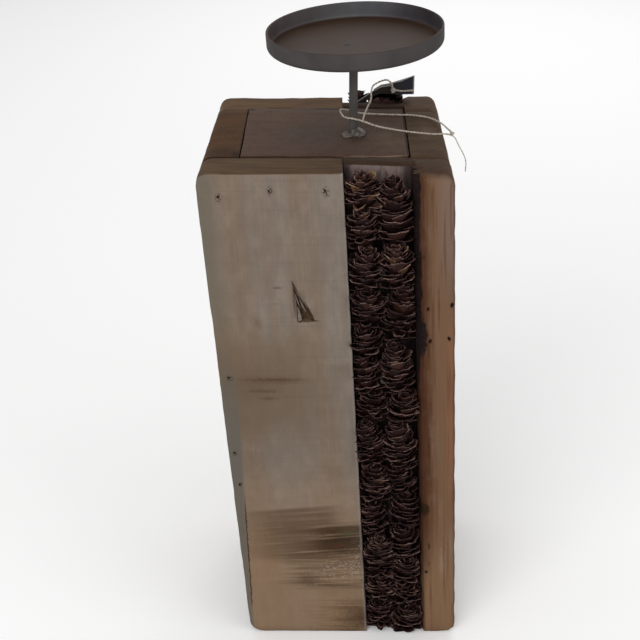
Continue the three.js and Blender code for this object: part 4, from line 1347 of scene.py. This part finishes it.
# %% [markdown]
# ## Glue
# Hot-melt glue holds the rod and the cones. It is a cloudy, waxy plastic that sets in blobs, so
# light goes a little way into it. Each blob is a wobbly dome from the lathe. The one at the rod
# has a second, thin lobe that ran out to the left before the glue set. The blobs between the
# cones show only where two cones part.

# %% Glue blobs
glue = mottled("cloudy_hot_melt_glue", 2.5, 2.0, [(0.35, "#413B37"), (0.65, "#625A54")], {
    "Roughness": 0.45, "Specular IOR Level": 0.3, "Subsurface Weight": 0.3,
    "Subsurface Radius": (2 * MM, 1.6 * MM, 1.2 * MM)})
DOME = [(0, 0.0), (0.75, 0.02), (1.0, 0.18), (0.96, 0.42), (0.78, 0.72), (0.48, 0.92), (0.2, 1.0), (0, 1.0)]
# The bead's lobes: x, y, radius and height.
BEAD_LOBES = [(2.8, -3.6, 4.6, 4.4), (-3.0, -4.4, 3.6, 2.4)]
# The blobs in the slots: x, z and radius.
SLOT_BLOBS = {
    "front": (-1, [(29.2, 282, 3.2), (28.6, 207, 3.0), (29.4, 188.5, 2.6), (28.4, 48, 3.0)]),
    "back": (1, [(28.8, 296, 3.0), (29.2, 222, 2.8), (28.2, 140, 3.2), (29.6, 62, 2.6)]),
}
SLOT_BLOB_Y = 52.5


def blob(place, radius, height, steps, seed, turn=0):
    """A dome of glue that stands on a place in millimetres, turned about the x axis."""
    mesh = lathe("blob", [(radius * r, height * h) for r, h in DOME], steps, 0.7, seed)
    mesh.transform(Matrix.Translation(Vector(place) * MM) @ Matrix.Rotation(math.radians(turn), 4, "X"))
    return mesh


lobes = [blob((x, y, BLOCK_HEIGHT + 0.05), radius, height, 36, seed)
         for seed, (x, y, radius, height) in enumerate(BEAD_LOBES, 4)]
keep("glue_bead_blob", joined("glue_bead_blob", lobes), "hot_glue", "glue_bead", material=glue)
for face, (towards, spots) in SLOT_BLOBS.items():
    blobs = []
    for number, (x, z, size) in enumerate(spots):
        place = (leaning(x, z), towards * SLOT_BLOB_Y, z)
        blobs.append(blob(place, size, size * 1.3, 16, number * 3, -90 * towards))
    keep(face + "_slot_glue", joined(face + "_slot_glue", blobs), "hot_glue", material=glue)
print("glue blobs in the slots:", sum(len(spots) for towards, spots in SLOT_BLOBS.values()))

# %% [markdown]
# ## Tag
# The hang tag is a strip of charcoal card folded in two and squashed, so the leaves fan out
# behind the twine. Each leaf is a thin closed sheet bent a little, and its cut edges show the
# card's pale core.

# %% Tag leaves
LEAF_STEPS, LEAF_BOW, CARD_THICKNESS = 4, 0.35, 0.4
# Each leaf goes through (x, y, low, high) stations, with heights above the block's top.
LEAVES = [
    [(13, 48.5, 6.0, 9.5), (17.5, 48.4, 6.6, 12.4), (23, 48.4, 6.4, 13.4), (30, 48.5, 6.0, 15.5),
     (38, 48.4, 6.2, 18.2)],
    [(3, 46.6, 1.4, 2.4), (8, 47.0, 3.0, 5.8), (13, 47.3, 5.4, 9.2), (17.5, 47.5, 7.4, 11.6),
     (23, 47.7, 7.8, 12.4), (27, 47.7, 6.4, 8.5)]]
form = bmesh.new()
cut_edge = form.verts.layers.float.new("cut_edge")
for stations in LEAVES:
    sheets = []
    for side in (-CARD_THICKNESS / 2, CARD_THICKNESS / 2):
        sheets.append([])
        for x, y, low, high in stations:
            line = []
            for step in range(LEAF_STEPS + 1):
                share = step / LEAF_STEPS
                y_here = y + side - LEAF_BOW * math.sin(math.pi * share)
                vertex = form.verts.new(Vector((x, y_here, BLOCK_HEIGHT + low + (high - low) * share)) * MM)
                vertex[cut_edge] = 0.0 if step < LEAF_STEPS and x < 38 else 1.0 if x > 30 else 1.6
                line.append(vertex)
            sheets[-1].append(line)
    closed_sheet(form, *sheets)
tag = keep("hang_tag_leaves", mesh_from(form, "hang_tag_leaves"), "charcoal_card", "hang_tag")
print("faces in the tag:", len(tag.data.polygons))

# %% Card
# Dyed card is matt, with fibres about half a millimetre long and a paler core at its cut edges.
card, tree = new_material("charcoal_dyed_card")
place = node(tree, "TexCoord").outputs["Object"]
across_tag = node(tree, "SeparateXYZ", {0: place}).outputs[0]
pulp = node(tree, "TexNoise", {"Vector": place, "Scale": 1 / (0.5 * MM), "Detail": 4.0})
side = node(tree, "MapRange", {"Value": across_tag, 1: 22 * MM, 2: 30 * MM})
dyed = node(tree, "Mix", {0: side, 6: "#2B2623", 7: "#302F35"}, data_type="RGBA")
edge = node(tree, "Attribute", attribute_name="cut_edge").outputs["Fac"]
bare = node(tree, "MapRange", {"Value": edge, 1: 0.86, 2: 0.98})
mottle = node(tree, "MapRange", {"Value": pulp, 1: 0.3, 2: 0.7, 3: 0.8, 4: 1.25})
faded = node(tree, "Mix", {0: 1.0, 6: dyed, 7: mottle}, data_type="RGBA", blend_type="MULTIPLY")
shown = node(tree, "Mix", {0: bare, 6: faded, 7: "#A39E9B"}, data_type="RGBA")
surface(tree, {"Base Color": shown, "Roughness": 0.9, "Specular IOR Level": 0.2})
tag.data.materials.append(card)

# %% [markdown]
# ## Light and floor
# Soft even light from all round, with one large lamp in front to the left, shows each colour
# about as it is written. The white behind the object comes from the world's and the floor's
# own colour for the camera, so it puts no extra light on the wood.

# %% World
AMBIENT = 0.62
world = bpy.data.worlds.new("white_studio")
SCENE.world = world
world.use_nodes = True
tree = world.node_tree
tree.nodes.clear()
ray = node(tree, "LightPath").outputs
mirrored = node(tree, "Math", {0: ray["Is Glossy Ray"], 1: ray["Is Transmission Ray"]}, operation="MAXIMUM")
seen = node(tree, "Math", {0: ray["Is Camera Ray"], 1: mirrored}, operation="MAXIMUM")
level = node(tree, "MapRange", {"Value": seen, 3: AMBIENT, 4: 1.0})
sky = node(tree, "Background", {"Color": "#FFFFFF", "Strength": level})
node(tree, "OutputWorld", {"Surface": sky})

# %% Lamps
TARGET, LAMP_SIDE = Vector((0, 0, 0.2)), 1.2
for name, place, power in (
        ("key", (-0.7, -1.3, 1.1), 13.0), ("fill", (1.4, -0.8, 0.8), 5.0), ("back", (0.3, 1.5, 1.2), 7.0)):
    lamp = bpy.data.objects.new(name + "_lamp", bpy.data.lights.new(name, "AREA"))
    lamp.data.energy, lamp.data.size = power, LAMP_SIDE
    lamp.location = place
    lamp.rotation_euler = (TARGET - Vector(place)).to_track_quat("-Z", "Y").to_euler()
    SCENE.collection.objects.link(lamp)

# %% Floor
# White paper is matt. It is a little darker for the light than for the camera.
paper, tree = new_material("white_paper_floor")
ray = node(tree, "LightPath").outputs
shade = node(tree, "Mix", {0: ray["Is Camera Ray"], 6: "#D9D9D9", 7: "#FFFFFF"}, data_type="RGBA")
surface(tree, {"Base Color": shade, "Roughness": 1.0, "Specular IOR Level": 0.0})
bpy.ops.mesh.primitive_plane_add(size=8)
floor = bpy.context.object
floor.name = "floor"
floor.data.materials.append(paper)

# %% Colour management
SCENE.view_settings.view_transform = "Standard"
